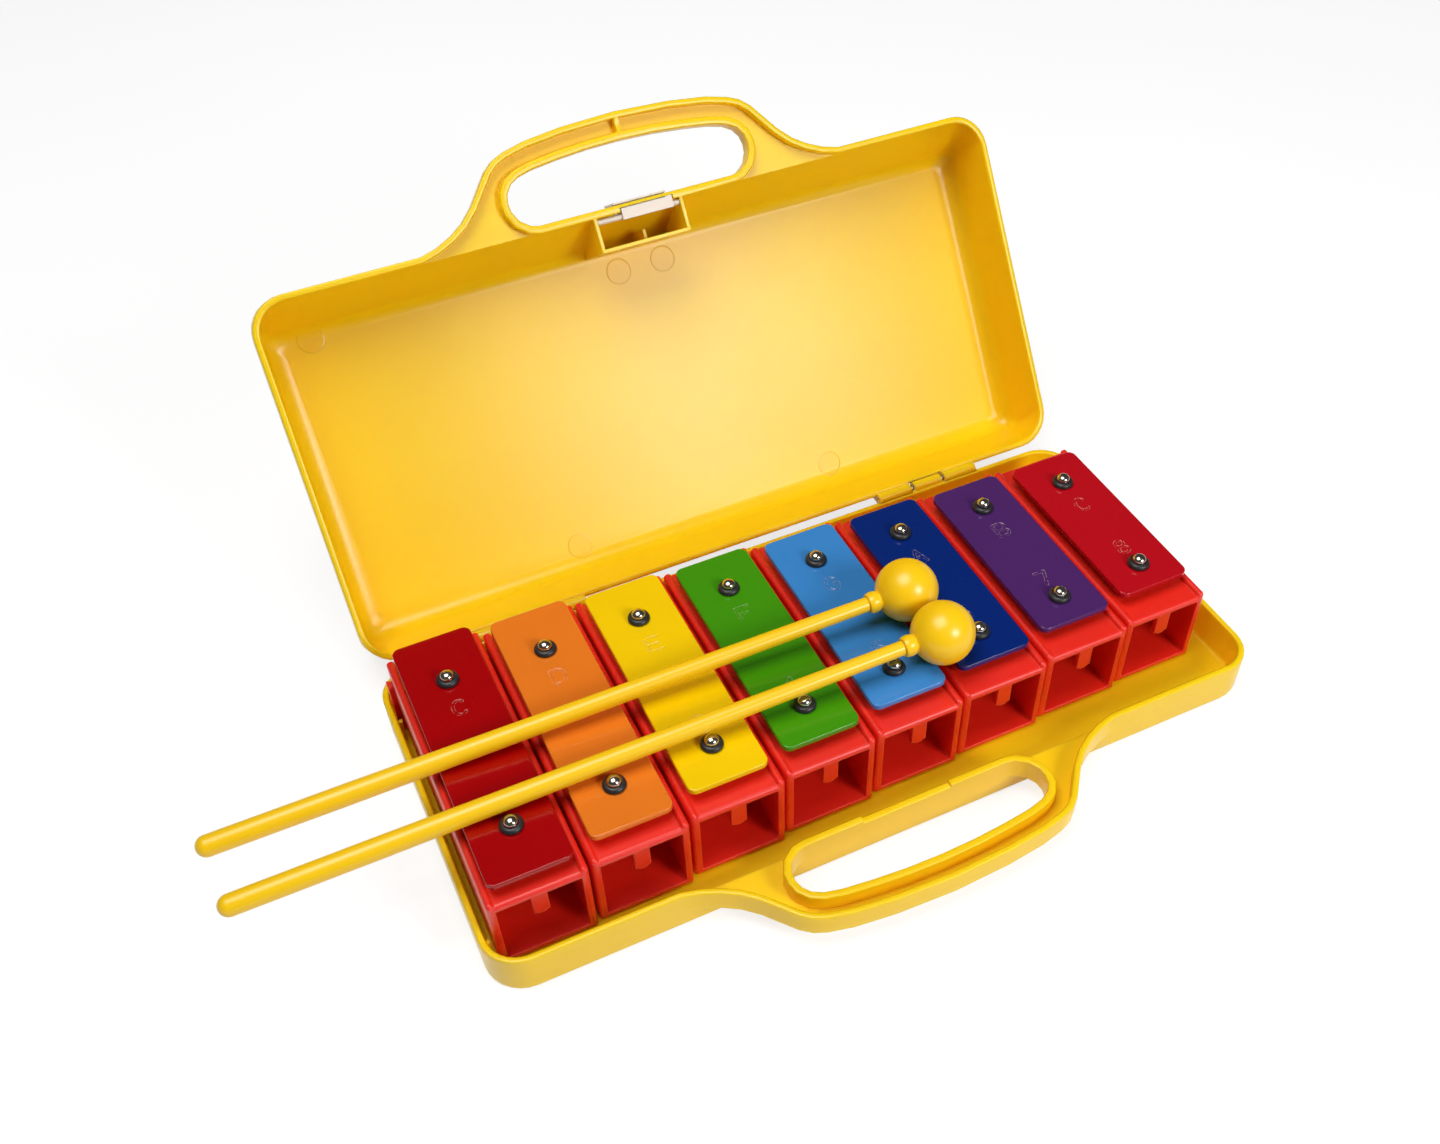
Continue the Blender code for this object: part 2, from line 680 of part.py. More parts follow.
def make_block(index, slot, parent):
    """A resonator: a deck on a box that is open at the front."""
    front, back = BLOCK_FRONT[index], BLOCK_BACK[index]
    section = block_section()
    half = BLOCK_WIDTH / 2 - BLOCK_WALL
    opening = [
        (-half, OPENING_BOTTOM), (half, OPENING_BOTTOM), (half, OPENING_TOP), (-half, OPENING_TOP),
    ]
    bm = bmesh.new()
    layers = []
    for angle in (90, 60, 30, 0):
        turn = math.radians(angle)
        layers.append((FRONT_ROUND * (1 - math.cos(turn)), front + FRONT_ROUND * (1 - math.sin(turn))))
    layers += [(0.0, back - BACK_CHAMFER), (BACK_CHAMFER, back)]
    outside = [
        add_loop(bm, [(x, y, z) for x, z in offset_loop(section, inset)]) for inset, y in layers
    ]
    for lower, upper in zip(outside, outside[1:]):
        bridge(bm, lower, upper)
    fill(bm, outside[-1])
    inside = [
        add_loop(bm, [(x, y, z) for x, z in opening]) for y in (front, back - BLOCK_BACK_WALL)
    ]
    bridge(bm, *inside)
    fill(bm, inside[-1])
    fill(bm, outside[0], inside[0])
    block = to_object(bm, "block")

    lip = [(-LIP_HALF, OPENING_TOP + 0.8), (-LIP_HALF, OPENING_TOP - LIP_DROP + LIP_HALF * 0.35)]
    lip += arc(0.0, OPENING_TOP - LIP_DROP + LIP_HALF, LIP_HALF, 215, 325, 4)
    lip += [(LIP_HALF, OPENING_TOP - LIP_DROP + LIP_HALF * 0.35), (LIP_HALF, OPENING_TOP + 0.8)]
    adds = [prism("Y", [lip], front + 0.5, front + 0.5 + LIP_THICK)]
    side = BLOCK_WIDTH / 2
    middle = back - DOVETAIL_BACK
    tongue = [
        (-side + 0.8, middle - DOVETAIL_ROOT), (-side, middle - DOVETAIL_ROOT),
        (-side - DOVETAIL_PROUD, middle - DOVETAIL_TIP),
        (-side - DOVETAIL_PROUD, middle + DOVETAIL_TIP),
        (-side, middle + DOVETAIL_ROOT), (-side + 0.8, middle + DOVETAIL_ROOT),
    ]
    adds.append(prism("Z", [tongue], BLOCK_BOTTOM + 1.5, BLOCK_DECK - DOVETAIL_DROP))
    reach = PITCH - BLOCK_WIDTH
    at_face = DOVETAIL_ROOT + (DOVETAIL_TIP - DOVETAIL_ROOT) * reach / DOVETAIL_PROUD + RUN_GAP
    at_end = at_face + (DOVETAIL_TIP - DOVETAIL_ROOT) * SOCKET_DEPTH / DOVETAIL_PROUD
    cuts = []
    for neighbour in BLOCK_BACK[index + 1:index + 2]:
        middle = neighbour - DOVETAIL_BACK
        socket = [
            (side + 0.6, middle - at_face + 0.2), (side - SOCKET_DEPTH, middle - at_end),
            (side - SOCKET_DEPTH, middle + at_end), (side + 0.6, middle + at_face - 0.2),
        ]
        cuts.append(prism(
            "Z", [socket[::-1]], BLOCK_BOTTOM - 1.0, BLOCK_DECK - DOVETAIL_DROP + 0.6,
        ))
    for y in (SCREW_FRONT_Y[index], SCREW_BACK_Y[index]):
        adds.append(prism(
            "Z", [arc(0.0, y, BOSS_RADIUS, 0, 360, 12)[:-1]],
            OPENING_TOP - BOSS_DROP, OPENING_TOP + 0.8,
        ))
        cuts.append(prism(
            "Z", [arc(0.0, y, SHANK_RADIUS + PIN_GAP, 0, 360, 12)[:-1]],
            BLOCK_DECK - SHANK_DROP - 0.6, BLOCK_DECK + 1.0,
        ))
    return finish(combine(block, adds, cuts), f"block_{NOTES[index]}", slot, parent)


def make_bar(index, slot, parent):
    """A steel tone bar with a hole at each node of its vibration."""
    half_x = BAR_WIDTH / 2
    half_y = BAR_LENGTH[index] / 2
    cx, cy = half_x - BAR_CORNER, half_y - BAR_CORNER
    outline = (
        arc(cx, BAR_CENTRE_Y - cy, BAR_CORNER, -90, 0, 4)
        + arc(cx, BAR_CENTRE_Y + cy, BAR_CORNER, 0, 90, 4)
        + arc(-cx, BAR_CENTRE_Y + cy, BAR_CORNER, 90, 180, 4)
        + arc(-cx, BAR_CENTRE_Y - cy, BAR_CORNER, 180, 270, 4)
    )
    low = BAR_TOP - BAR_THICK
    bm = bmesh.new()
    skin = [
        (BAR_EDGE, low), (0.0, low + BAR_EDGE), (0.0, BAR_TOP - BAR_EDGE), (BAR_EDGE, BAR_TOP),
    ]
    rows = loft(bm, [lift(offset_loop(outline, inset), z) for inset, z in skin])
    holes = []
    for y in (SCREW_FRONT_Y[index], SCREW_BACK_Y[index]):
        ring = arc(0.0, y, GROMMET_NECK + PIN_GAP, 0, 360, 16)[:-1]
        pair = [add_loop(bm, lift(ring, z)) for z in (low, BAR_TOP)]
        bridge(bm, *pair)
        holes.append(pair)
    fill(bm, rows[0], *[pair[0] for pair in holes])
    fill(bm, rows[-1], *[pair[1] for pair in holes])
    return finish(to_object(bm, "bar"), f"bar_{NOTES[index]}", slot, parent)


def make_grommet(y, slot, name, parent):
    """A rubber grommet: a foot under the bar, a neck through it and a rolled collar above."""
    foot = BLOCK_DECK + SEAT_GAP
    under = BAR_TOP - BAR_THICK - SEAT_GAP
    above = BAR_TOP + SEAT_GAP
    top = BAR_TOP + GROMMET_RISE
    bore = SHANK_RADIUS + PIN_GAP
    bm = bmesh.new()
    revolve(bm, [
        (bore, foot), (GROMMET_RADIUS, foot), (GROMMET_RADIUS, under), (GROMMET_NECK, under),
        (GROMMET_NECK, above), (GROMMET_RADIUS - 0.4, above), (GROMMET_RADIUS, above + 0.6),
        (GROMMET_RADIUS - 0.45, top - 0.55), (HEAD_RADIUS + 0.1, top), (bore, top),
    ], 14)
    grommet = to_object(bm, name)
    grommet.location = Vector((0.0, y, 0.0)) * MM
    return finish(grommet, name, slot, parent)


def make_screw(y, slot, name, parent):
    """A round-headed screw through a grommet and the bar into the block."""
    seat = BAR_TOP + GROMMET_RISE + SEAT_GAP
    bm = bmesh.new()
    dome = [
        (HEAD_RADIUS * math.cos(math.radians(a)), seat + 0.4
         + (HEAD_HEIGHT - 0.4) * math.sin(math.radians(a)))
        for a in (0, 28, 54, 76)
    ]
    revolve(bm, [
        (0.0, BLOCK_DECK - SHANK_DROP), (SHANK_RADIUS - 0.5, BLOCK_DECK - SHANK_DROP),
        (SHANK_RADIUS, BLOCK_DECK - SHANK_DROP + 1.0), (SHANK_RADIUS, seat),
        (HEAD_RADIUS - 0.1, seat), *dome, (0.0, seat + HEAD_HEIGHT),
    ], 12)
    screw = to_object(bm, name)
    screw.location = Vector((0.0, y, 0.0)) * MM
    return finish(screw, name, slot, parent)


# Mallets, ball centre at the origin and the stick along -X

def make_mallet(number, stick_slot, ball_slot, parent):
    ball = Vector(BALL_CENTRES[number - 1])
    tail = Vector(TAIL_CENTRES[number - 1])
    length = (tail - ball).length
    turn = (tail - ball).to_track_quat("Z", "Y").to_euler()
    place = (ball - Vector(put_away_pivot(number)["point"])) * MM

    bore = TIP_RADIUS + PIN_GAP
    collar_start = math.sqrt(BALL_RADIUS ** 2 - COLLAR_RADIUS ** 2)
    collar_end = collar_start + COLLAR_LENGTH
    first = math.degrees(math.asin(COLLAR_RADIUS / BALL_RADIUS))
    sweep = [180 - (180 - first) * k / 13 for k in range(14)]
    round_part = [
        (BALL_RADIUS * math.sin(math.radians(a)), BALL_RADIUS * math.cos(math.radians(a)))
        for a in sweep[1:]
    ]
    bm = bmesh.new()
    revolve(bm, [
        (0.0, -BALL_RADIUS), *round_part, (COLLAR_RADIUS, collar_end - 0.5),
        (COLLAR_RADIUS - 0.5, collar_end), (bore, collar_end),
        (bore, TIP_IN_BALL - RUN_GAP), (0.0, TIP_IN_BALL - RUN_GAP),
    ], 24)
    head = to_object(bm, f"mallet_{number}_head")
    head.location = place
    head.rotation_euler = turn
    finish(head, f"mallet_{number}_head", ball_slot, parent)

    dome = [
        (TAIL_RADIUS * math.cos(math.radians(a)),
         length - TAIL_RADIUS + TAIL_RADIUS * math.sin(math.radians(a)))
        for a in (0, 22, 45, 68)
    ]
    bm = bmesh.new()
    revolve(bm, [
        (0.0, TIP_IN_BALL), (TIP_RADIUS - 0.3, TIP_IN_BALL), (TIP_RADIUS, TIP_IN_BALL + 0.3),
        (TIP_RADIUS, collar_end), (TAIL_RADIUS, length * 0.8), *dome, (0.0, length),
    ], 16)
    stick = to_object(bm, f"mallet_{number}_stick")
    stick.location = place
    stick.rotation_euler = turn
    finish(stick, f"mallet_{number}_stick", stick_slot, parent)


def put_away_pivot(number):
    """A point and direction about which half a turn lays a mallet on the table."""
    ball = Vector(BALL_CENTRES[number - 1])
    tail = Vector(TAIL_CENTRES[number - 1])
    start = (tail - ball).normalized()
    length = (tail - ball).length
    drop = BALL_RADIUS - TAIL_RADIUS
    end = Vector((-math.sqrt(length ** 2 - drop ** 2), 0.0, -drop)).normalized()
    axis = (start + end).normalized()
    y_end = PUT_AWAY_Y + PUT_AWAY_STEP * (number - 1)
    z_end = BALL_RADIUS + RUN_GAP
    x_end = ball.x - (axis.y * (y_end - ball.y) + axis.z * (z_end - ball.z)) / axis.x
    laid = Vector((x_end, y_end, z_end))
    return {"point": tuple((ball + laid) / 2), "axis": tuple(axis), "laid": tuple(laid)}


def clear_scene():
    for obj in list(bpy.data.objects):
        bpy.data.objects.remove(obj, do_unlink=True)
    for store in (bpy.data.meshes, bpy.data.materials):
        for block in list(store):
            store.remove(block)


def main():
    clear_scene()
    yellow = material("case_yellow", (0.90, 0.50, 0.012), 0.38)
    red = material("resonator_red", (0.56, 0.008, 0.006), 0.34)
    steel = material("hinge_steel", (0.55, 0.55, 0.56), 0.35, metallic=1.0)
    nickel = material("screw_nickel", (0.72, 0.66, 0.56), 0.16, metallic=1.0)
    rubber = material("grommet_rubber", (0.022, 0.022, 0.024), 0.55)
    milky = material("latch_milky", (0.80, 0.76, 0.68), 0.35, transmission=0.35)
    stick = material("mallet_stick_yellow", (0.92, 0.55, 0.03), 0.32)
    ball = material("mallet_head_yellow", (0.90, 0.56, 0.03), 0.36)
    enamel = {
        "c": (0.33, 0.002, 0.003), "d": (0.75, 0.18, 0.015), "e": (0.80, 0.50, 0.004),
        "f": (0.048, 0.25, 0.003), "g": (0.055, 0.25, 0.62), "a": (0.004, 0.022, 0.18),
        "b": (0.085, 0.022, 0.13), "c_high": (0.45, 0.004, 0.012),
    }

    base = make_case_base(yellow)
    lid = make_case_lid(yellow)
    lid.parent = base
    make_latch(milky, lid)
    for side, centre in zip(("left", "right"), HINGE_CENTRES):
        make_hinge_pin(centre, steel, f"hinge_pin_{side}", base)

    for index, note in enumerate(NOTES):
        x = (index + 1 - 4.5) * PITCH + ROW_SHIFT
        bell = empty(f"bell_{note}", (x, 0.0, 0.0), base)
        make_block(index, red, bell)
        make_bar(index, material(f"enamel_{note}", enamel[note], 0.22, coat=0.5), bell)
        for place, y in (("front", SCREW_FRONT_Y[index]), ("back", SCREW_BACK_Y[index])):
            make_grommet(y, rubber, f"grommet_{note}_{place}", bell)
            make_screw(y, nickel, f"screw_{note}_{place}", bell)

    for number in (1, 2):
        pivot = put_away_pivot(number)
        mallet = empty(f"mallet_{number}", pivot["point"], base)
        make_mallet(number, stick, ball, mallet)
    bpy.context.view_layer.update()


main()
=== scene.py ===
"""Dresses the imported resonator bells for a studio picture.

The case, the resonators, the latch and the hinge wires keep their solids and get moulded and metal
finishes. The tone bars, screws, grommets and mallets are worked again as smooth surfaces in the
places of their solids, the bars with the stamped marks that a note bar carries.
"""
import math

import bmesh
import bpy
import numpy as np
from bpy.props import FloatProperty, FloatVectorProperty, IntProperty, PointerProperty
from mathutils import Matrix, Vector


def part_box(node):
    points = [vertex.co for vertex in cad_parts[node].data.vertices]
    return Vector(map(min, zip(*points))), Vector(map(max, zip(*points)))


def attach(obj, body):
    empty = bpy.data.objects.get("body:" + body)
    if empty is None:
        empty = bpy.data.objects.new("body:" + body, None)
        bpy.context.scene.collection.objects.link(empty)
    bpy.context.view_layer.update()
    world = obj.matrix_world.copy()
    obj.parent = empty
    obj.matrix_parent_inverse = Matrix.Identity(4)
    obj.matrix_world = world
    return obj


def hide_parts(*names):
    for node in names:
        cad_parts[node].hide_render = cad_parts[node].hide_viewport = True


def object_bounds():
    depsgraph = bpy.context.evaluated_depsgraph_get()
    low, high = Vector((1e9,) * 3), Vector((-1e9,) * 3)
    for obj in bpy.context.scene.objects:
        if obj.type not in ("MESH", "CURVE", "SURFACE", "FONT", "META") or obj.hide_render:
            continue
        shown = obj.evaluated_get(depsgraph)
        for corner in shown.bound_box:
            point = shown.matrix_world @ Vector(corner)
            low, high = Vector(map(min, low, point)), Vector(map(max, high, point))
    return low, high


bl_info = {
    "name": "Resonator Bells",
    "version": (1, 0, 0),
    "blender": (4, 5, 0),
    "location": "3D View > Sidebar > Bells",
    "description": "Finishes, smooth working parts and a studio for a set of resonator bells",
    "category": "Object",
}

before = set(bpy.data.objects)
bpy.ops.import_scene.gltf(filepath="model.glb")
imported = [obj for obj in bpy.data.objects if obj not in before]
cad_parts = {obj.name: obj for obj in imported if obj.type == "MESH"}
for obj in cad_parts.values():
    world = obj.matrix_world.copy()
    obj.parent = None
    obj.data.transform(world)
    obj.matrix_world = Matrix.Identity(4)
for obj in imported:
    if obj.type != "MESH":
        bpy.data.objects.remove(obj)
CAD_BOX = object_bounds()

MM = 0.001
UP = (0, 0, 1)
NOTES = ("c", "d", "e", "f", "g", "a", "b", "c_high")
ENDS = ("front", "back")

# Camera, found from the picture of the set
EYE = (-0.167257, -0.312744, 0.426394)
CAMERA_RIGHT = (0.90200277, -0.43141972, -0.01637142)
CAMERA_DOWN = (-0.3287315, -0.66173428, -0.67382739)
FOCAL_PIXELS = 1430.80
IMAGE_PIXELS = (1440, 1144)
PRINCIPAL_PIXEL = (756.59, 631.46)
SENSOR_WIDTH = 36.0


# Settings

def colour(name, description, default):
    return FloatVectorProperty(
        name=name, description=description, default=default, size=3, min=0.0, max=1.0,
        subtype="COLOR",
    )


def length(name, description, default):
    """A length kept in millimetres, as a maker would write it."""
    return FloatProperty(name=name, description=description, default=default, min=0.0)


class CaseSettings(bpy.types.PropertyGroup):
    """The yellow case, its latch and its hinge wires."""

    plastic: colour("Case plastic", "Colour of the moulded case", (0.95, 0.60, 0.004))
    # The case's edge colour is a painted highlight: a lighter yellow laid along its rounded edges.
    edge: colour("Case edge highlight", "Lighter colour along the case's rounded edges", (0.96, 0.68, 0.07))
    roughness: FloatProperty(name="Case roughness", description="Satin of the case", default=0.31)
    edge_radius: length("Edge radius", "Rounding seen along the case's edges, in mm", 0.45)
    latch: colour("Latch", "Colour of the milky latch", (0.78, 0.68, 0.58))
    wire: colour("Hinge wire", "Colour of the steel hinge wires", (0.55, 0.55, 0.56))
    mark_radius: length("Ejector mark", "Radius of the round marks in the lid, in mm", 5.0)


class BellSettings(bpy.types.PropertyGroup):
    """The resonators, tone bars, grommets and screws."""

    resonator: colour("Resonator", "Colour of the resonator boxes", (0.79, 0.014, 0.003))
    # Painted highlight: a lighter, salmon red along the resonator boxes' edges.
    resonator_edge_highlight: colour("Resonator edge highlight", "Colour along their edges", (0.90, 0.115, 0.045))
    c: colour("Bar C", "Enamel of the low C bar", (0.345, 0.0, 0.001))
    d: colour("Bar D", "Enamel of the D bar", (0.755, 0.183, 0.013))
    e: colour("Bar E", "Enamel of the E bar", (0.86, 0.56, 0.001))
    f: colour("Bar F", "Enamel of the F bar", (0.048, 0.27, 0.003))
    g: colour("Bar G", "Enamel of the G bar", (0.040, 0.22, 0.56))
    a: colour("Bar A", "Enamel of the A bar", (0.001, 0.017, 0.155))
    b: colour("Bar B", "Enamel of the B bar", (0.067, 0.017, 0.123))
    c_high: colour("Bar high C", "Enamel of the high C bar", (0.46, 0.003, 0.009))
    enamel_roughness: FloatProperty(
        name="Enamel", description="Roughness of the enamel", default=0.16,
    )
    bar_edge: length("Bar edge", "Rounding of the bars' edges, in mm", 0.45)
    bar_corner: length("Bar corner", "Radius of the bars' corners, in mm", 3.0)
    rubber: colour("Rubber", "Colour of the grommets", (0.016, 0.016, 0.018))
    nickel: colour("Nickel", "Colour of the screw heads", (0.62, 0.56, 0.47))


class MarkSettings(bpy.types.PropertyGroup):
    """The note letters and numbers stamped into the bars."""

    height: length("Mark height", "Height of a letter or number, in mm", 6.6)
    width: length("Mark width", "Width of a letter or number, in mm", 4.7)
    stroke: length("Stroke", "Half width of a stamped line, in mm", 0.52)
    depth: length("Depth", "Depth of a stamped line, in mm", 0.20)
    letter_gap: length("Letter gap", "From the back screw to the letter's middle, in mm", 13.6)
    number_gap: length("Number gap", "From the front screw to the number's middle, in mm", 10.6)
    pitch: length("Grid pitch", "Spacing of the surface points round a mark, in mm", 0.11)


class MalletSettings(bpy.types.PropertyGroup):
    """The two mallets."""

    stick: colour("Stick", "Colour of the sticks", (0.94, 0.575, 0.006))
    ball: colour("Ball", "Colour of the balls", (0.95, 0.575, 0.005))
    tail_radius: length("Tail radius", "Radius of the stick's thick end, in mm", 3.8)
    tip_radius: length("Tip radius", "Radius of the stick at the ball, in mm", 2.7)
    collar_radius: length("Collar radius", "Radius of the collar on the ball, in mm", 3.9)
    collar_length: length("Collar length", "Length of the collar past the ball, in mm", 4.6)
    segments: IntProperty(name="Segments", description="Faces round a turned part", default=96)


class StudioSettings(bpy.types.PropertyGroup):
    """Floor, lamps and surroundings."""

    world: FloatProperty(name="Surroundings", description="Light from all round", default=0.07)
    overhead: FloatProperty(
        name="Overhead", description="Radiance of the softbox above", default=6.6,
    )
    front: FloatProperty(
        name="Front", description="Radiance of the softbox in front", default=21.5,
    )
    floor: FloatProperty(
        name="Floor size", description="Width of the floor", default=12.0, unit="LENGTH",
    )


GROUPS = {
    "bells_case": CaseSettings,
    "bells_bell": BellSettings,
    "bells_mark": MarkSettings,
    "bells_mallet": MalletSettings,
    "bells_studio": StudioSettings,
}


# Surfaces

MERGE_DISTANCE = 1e-7


def skin(name, grid, wrap_rows=False, wrap_columns=True):
    """A mesh over a grid of points, rows by columns by xyz in metres.

    Each face joins a point to the next in its row and in its column. Columns run round the
    surface, anticlockwise seen from outside the end that the rows climb to. Rows that shrink to
    one point are merged into a pole.
    """
    rows, columns = grid.shape[:2]
    index = np.arange(rows * columns).reshape(rows, columns)
    if wrap_rows:
        index = np.vstack([index, index[:1]])
    if wrap_columns:
        index = np.hstack([index, index[:, :1]])
    faces = np.stack(
        [index[:-1, :-1], index[:-1, 1:], index[1:, 1:], index[1:, :-1]], axis=-1,
    ).reshape(-1, 4)
    return mesh_object(name, grid.reshape(-1, 3), faces)


def mesh_object(name, points, faces):
    """Quads and their points as a smooth object at the origin, with doubled points merged."""
    mesh = bpy.data.meshes.new(name)
    mesh.vertices.add(len(points))
    mesh.vertices.foreach_set("co", np.ascontiguousarray(points, dtype=np.float32).ravel())
    mesh.loops.add(faces.size)
    mesh.loops.foreach_set("vertex_index", faces.astype(np.int32).ravel())
    mesh.polygons.add(len(faces))
    mesh.polygons.foreach_set("loop_start", np.arange(0, faces.size, 4, dtype=np.int32))
    mesh.polygons.foreach_set("use_smooth", np.ones(len(faces), dtype=bool))
    mesh.update(calc_edges=True)
    work = bmesh.new()
    work.from_mesh(mesh)
    bmesh.ops.remove_doubles(work, verts=work.verts, dist=MERGE_DISTANCE)
    bmesh.ops.recalc_face_normals(work, faces=work.faces)
    work.to_mesh(mesh)
    work.free()
    obj = bpy.data.objects.new(name, mesh)
    bpy.context.scene.collection.objects.link(obj)
    return obj


def turned(name, profile, origin, axis, segments):
    """A surface of revolution.

    A profile point (radius, distance), in mm, goes round the axis: origin + distance along the
    axis + radius times (cos of the angle times one side + sin of the angle times the other).
    """
    axis = np.asarray(axis, dtype=float) / np.linalg.norm(axis)
    helper = np.array([0.0, 1.0, 0.0]) if abs(axis[1]) < 0.9 else np.array([1.0, 0.0, 0.0])
    side = np.cross(helper, axis)
    side /= np.linalg.norm(side)
    other = np.cross(axis, side)
    angle = np.linspace(0.0, 2.0 * np.pi, segments, endpoint=False)
    ring = np.cos(angle)[:, None] * side + np.sin(angle)[:, None] * other
    radius, distance = profile[:, 0], profile[:, 1]
    grid = (
        np.asarray(origin) + MM * distance[:, None, None] * axis
        + MM * radius[:, None, None] * ring
    )
    return skin(name, grid)


def dress(obj, body, slot, material, *nodes):
    """Puts a new piece on its body in place of its plain solids."""
    obj.data.materials.clear()
    obj.data.materials.append(material)
    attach(obj, body)
    if nodes:
        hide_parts(*nodes)


# Smooth shading of the carried-over solids

SHARP_EDGE_DEGREES = 50.0
WELD_DISTANCE = 1e-6
BROAD_FACE_WEIGHT = 80


def shading_group():
    """Geometry nodes that shade a solid smooth, except over its sharp edges."""
    group = bpy.data.node_groups.get("Soft Shading")
    if group is not None:
        return group
    group = bpy.data.node_groups.new("Soft Shading", "GeometryNodeTree")
    group.interface.new_socket("Geometry", in_out="INPUT", socket_type="NodeSocketGeometry")
    limit = group.interface.new_socket("Angle", in_out="INPUT", socket_type="NodeSocketFloat")
    limit.default_value = math.radians(SHARP_EDGE_DEGREES)
    group.interface.new_socket("Geometry", in_out="OUTPUT", socket_type="NodeSocketGeometry")
    new, link = group.nodes.new, group.links.new
    entry, leave = new("NodeGroupInput"), new("NodeGroupOutput")
    faces, edges = new("GeometryNodeSetShadeSmooth"), new("GeometryNodeSetShadeSmooth")
    edges.domain = "EDGE"
    angle, compare = new("GeometryNodeInputMeshEdgeAngle"), new("FunctionNodeCompare")
    compare.operation = "LESS_EQUAL"
    link(entry.outputs["Geometry"], faces.inputs["Geometry"])
    link(faces.outputs["Geometry"], edges.inputs["Geometry"])
    link(angle.outputs["Unsigned Angle"], compare.inputs[0])
    link(entry.outputs["Angle"], compare.inputs[1])
    link(compare.outputs[0], edges.inputs["Shade Smooth"])
    link(edges.outputs["Geometry"], leave.inputs["Geometry"])
    return group


def soften(obj):
    """Merges a solid's loose triangles and shades it smooth, its broad faces kept flat."""
    weld = obj.modifiers.new("Weld", "WELD")
    weld.merge_threshold = WELD_DISTANCE
    shade = obj.modifiers.new("Shade", "NODES")
    shade.node_group = shading_group()
    even = obj.modifiers.new("Even", "WEIGHTED_NORMAL")
    even.keep_sharp = True
    even.weight = BROAD_FACE_WEIGHT


def cover(node, material):
    """Gives a carried-over solid its finish and its smooth shading."""
    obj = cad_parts[node]
    obj.data.materials.clear()
    obj.data.materials.append(material)
    soften(obj)
    return obj


# Material effects

def new_group(name, inputs, outputs):
    """A shader node group with named sockets, each input (name, kind, default)."""
    group = bpy.data.node_groups.new(name, "ShaderNodeTree")
    for title, kind, default in inputs:
        socket = group.interface.new_socket(title, in_out="INPUT", socket_type="NodeSocket" + kind)
        socket.default_value = default
    for title, kind in outputs:
        group.interface.new_socket(title, in_out="OUTPUT", socket_type="NodeSocket" + kind)
    return group, group.nodes.new("NodeGroupInput"), group.nodes.new("NodeGroupOutput")


def put(tree, kind, sources=(), **settings):
    """Adds a node. sources pairs an input's name or number with a socket or a value."""
    node = tree.nodes.new(kind)
    for key, value in settings.items():
        setattr(node, key, value)
    for key, value in dict(sources).items():
        if isinstance(value, bpy.types.NodeSocket):
            tree.links.new(value, node.inputs[key])
        else:
            node.inputs[key].default_value = value
    return node


def sums(tree, operation, first, second):
    """The output of a Math node."""
    return put(tree, "ShaderNodeMath", {0: first, 1: second}, operation=operation).outputs[0]


def share(tree, value, part):
    """A value times another."""
    return sums(tree, "MULTIPLY", value, part)


def swing(tree, value, reach):
    """A noise value of 0 to 1 as a change of minus to plus half the reach."""
    return share(tree, sums(tree, "SUBTRACT", value, 0.5), reach)


def unsigned(tree, value):
    """A value without its sign."""
    return put(tree, "ShaderNodeMath", {0: value}, operation="ABSOLUTE").outputs[0]


def between(tree, operation, first, second, result="Value"):
    """An output of a Vector Math node."""
    return put(tree, "ShaderNodeVectorMath", {0: first, 1: second},
               operation=operation).outputs[result]


def shaded(tree, tint, value, saturation=1.0):
    """A colour made darker or lighter, and more or less saturated."""
    return put(tree, "ShaderNodeHueSaturation", {
        "Color": tint, "Value": value, "Saturation": saturation,
    }).outputs["Color"]


def object_place(tree):
    """The place on the object, in metres."""
    return put(tree, "ShaderNodeTexCoord").outputs["Object"]


def hand_out(tree, leave, outputs):
    """Links a group's results to its outputs."""
    for title, socket in outputs.items():
        tree.links.new(socket, leave.inputs[title])


def spread(tree, value, low, high, to_low, to_high):
    """A value's range carried over to another range, held at its ends."""
    return put(tree, "ShaderNodeMapRange", {
        "Value": value, "From Min": low, "From Max": high, "To Min": to_low, "To Max": to_high,
    }).outputs["Result"]


def noise(tree, vector, scale, detail=2.0, roughness=0.5):
    """Noise of 0 to 1, its scale in cells per metre."""
    return put(tree, "ShaderNodeTexNoise", {
        "Vector": vector, "Scale": scale, "Detail": detail, "Roughness": roughness,
    }).outputs["Fac"]


def blend_colour(tree, kind, factor, first, second):
    """The colour output of a Mix node."""
    return put(tree, "ShaderNodeMix", {0: factor, 6: first, 7: second},
               data_type="RGBA", blend_type=kind).outputs[2]


# Moulded plastic: cells per metre of its noises, and what they do to roughness and height
DRIFT_CELLS, PATCH_CELLS, GRAIN_CELLS = 9.0, 22.0, 900.0
SCUFF_TURN, SCUFF_CELLS = (0.3, 0.2, 0.9), (12.0, 260.0, 90.0)
DRIFT_ROUGHNESS, GRAIN_ROUGHNESS, SCUFF_ROUGHNESS = 0.12, 0.05, 0.14
SCUFF_DEPTH = 0.35
BEVEL_SAMPLES = 6


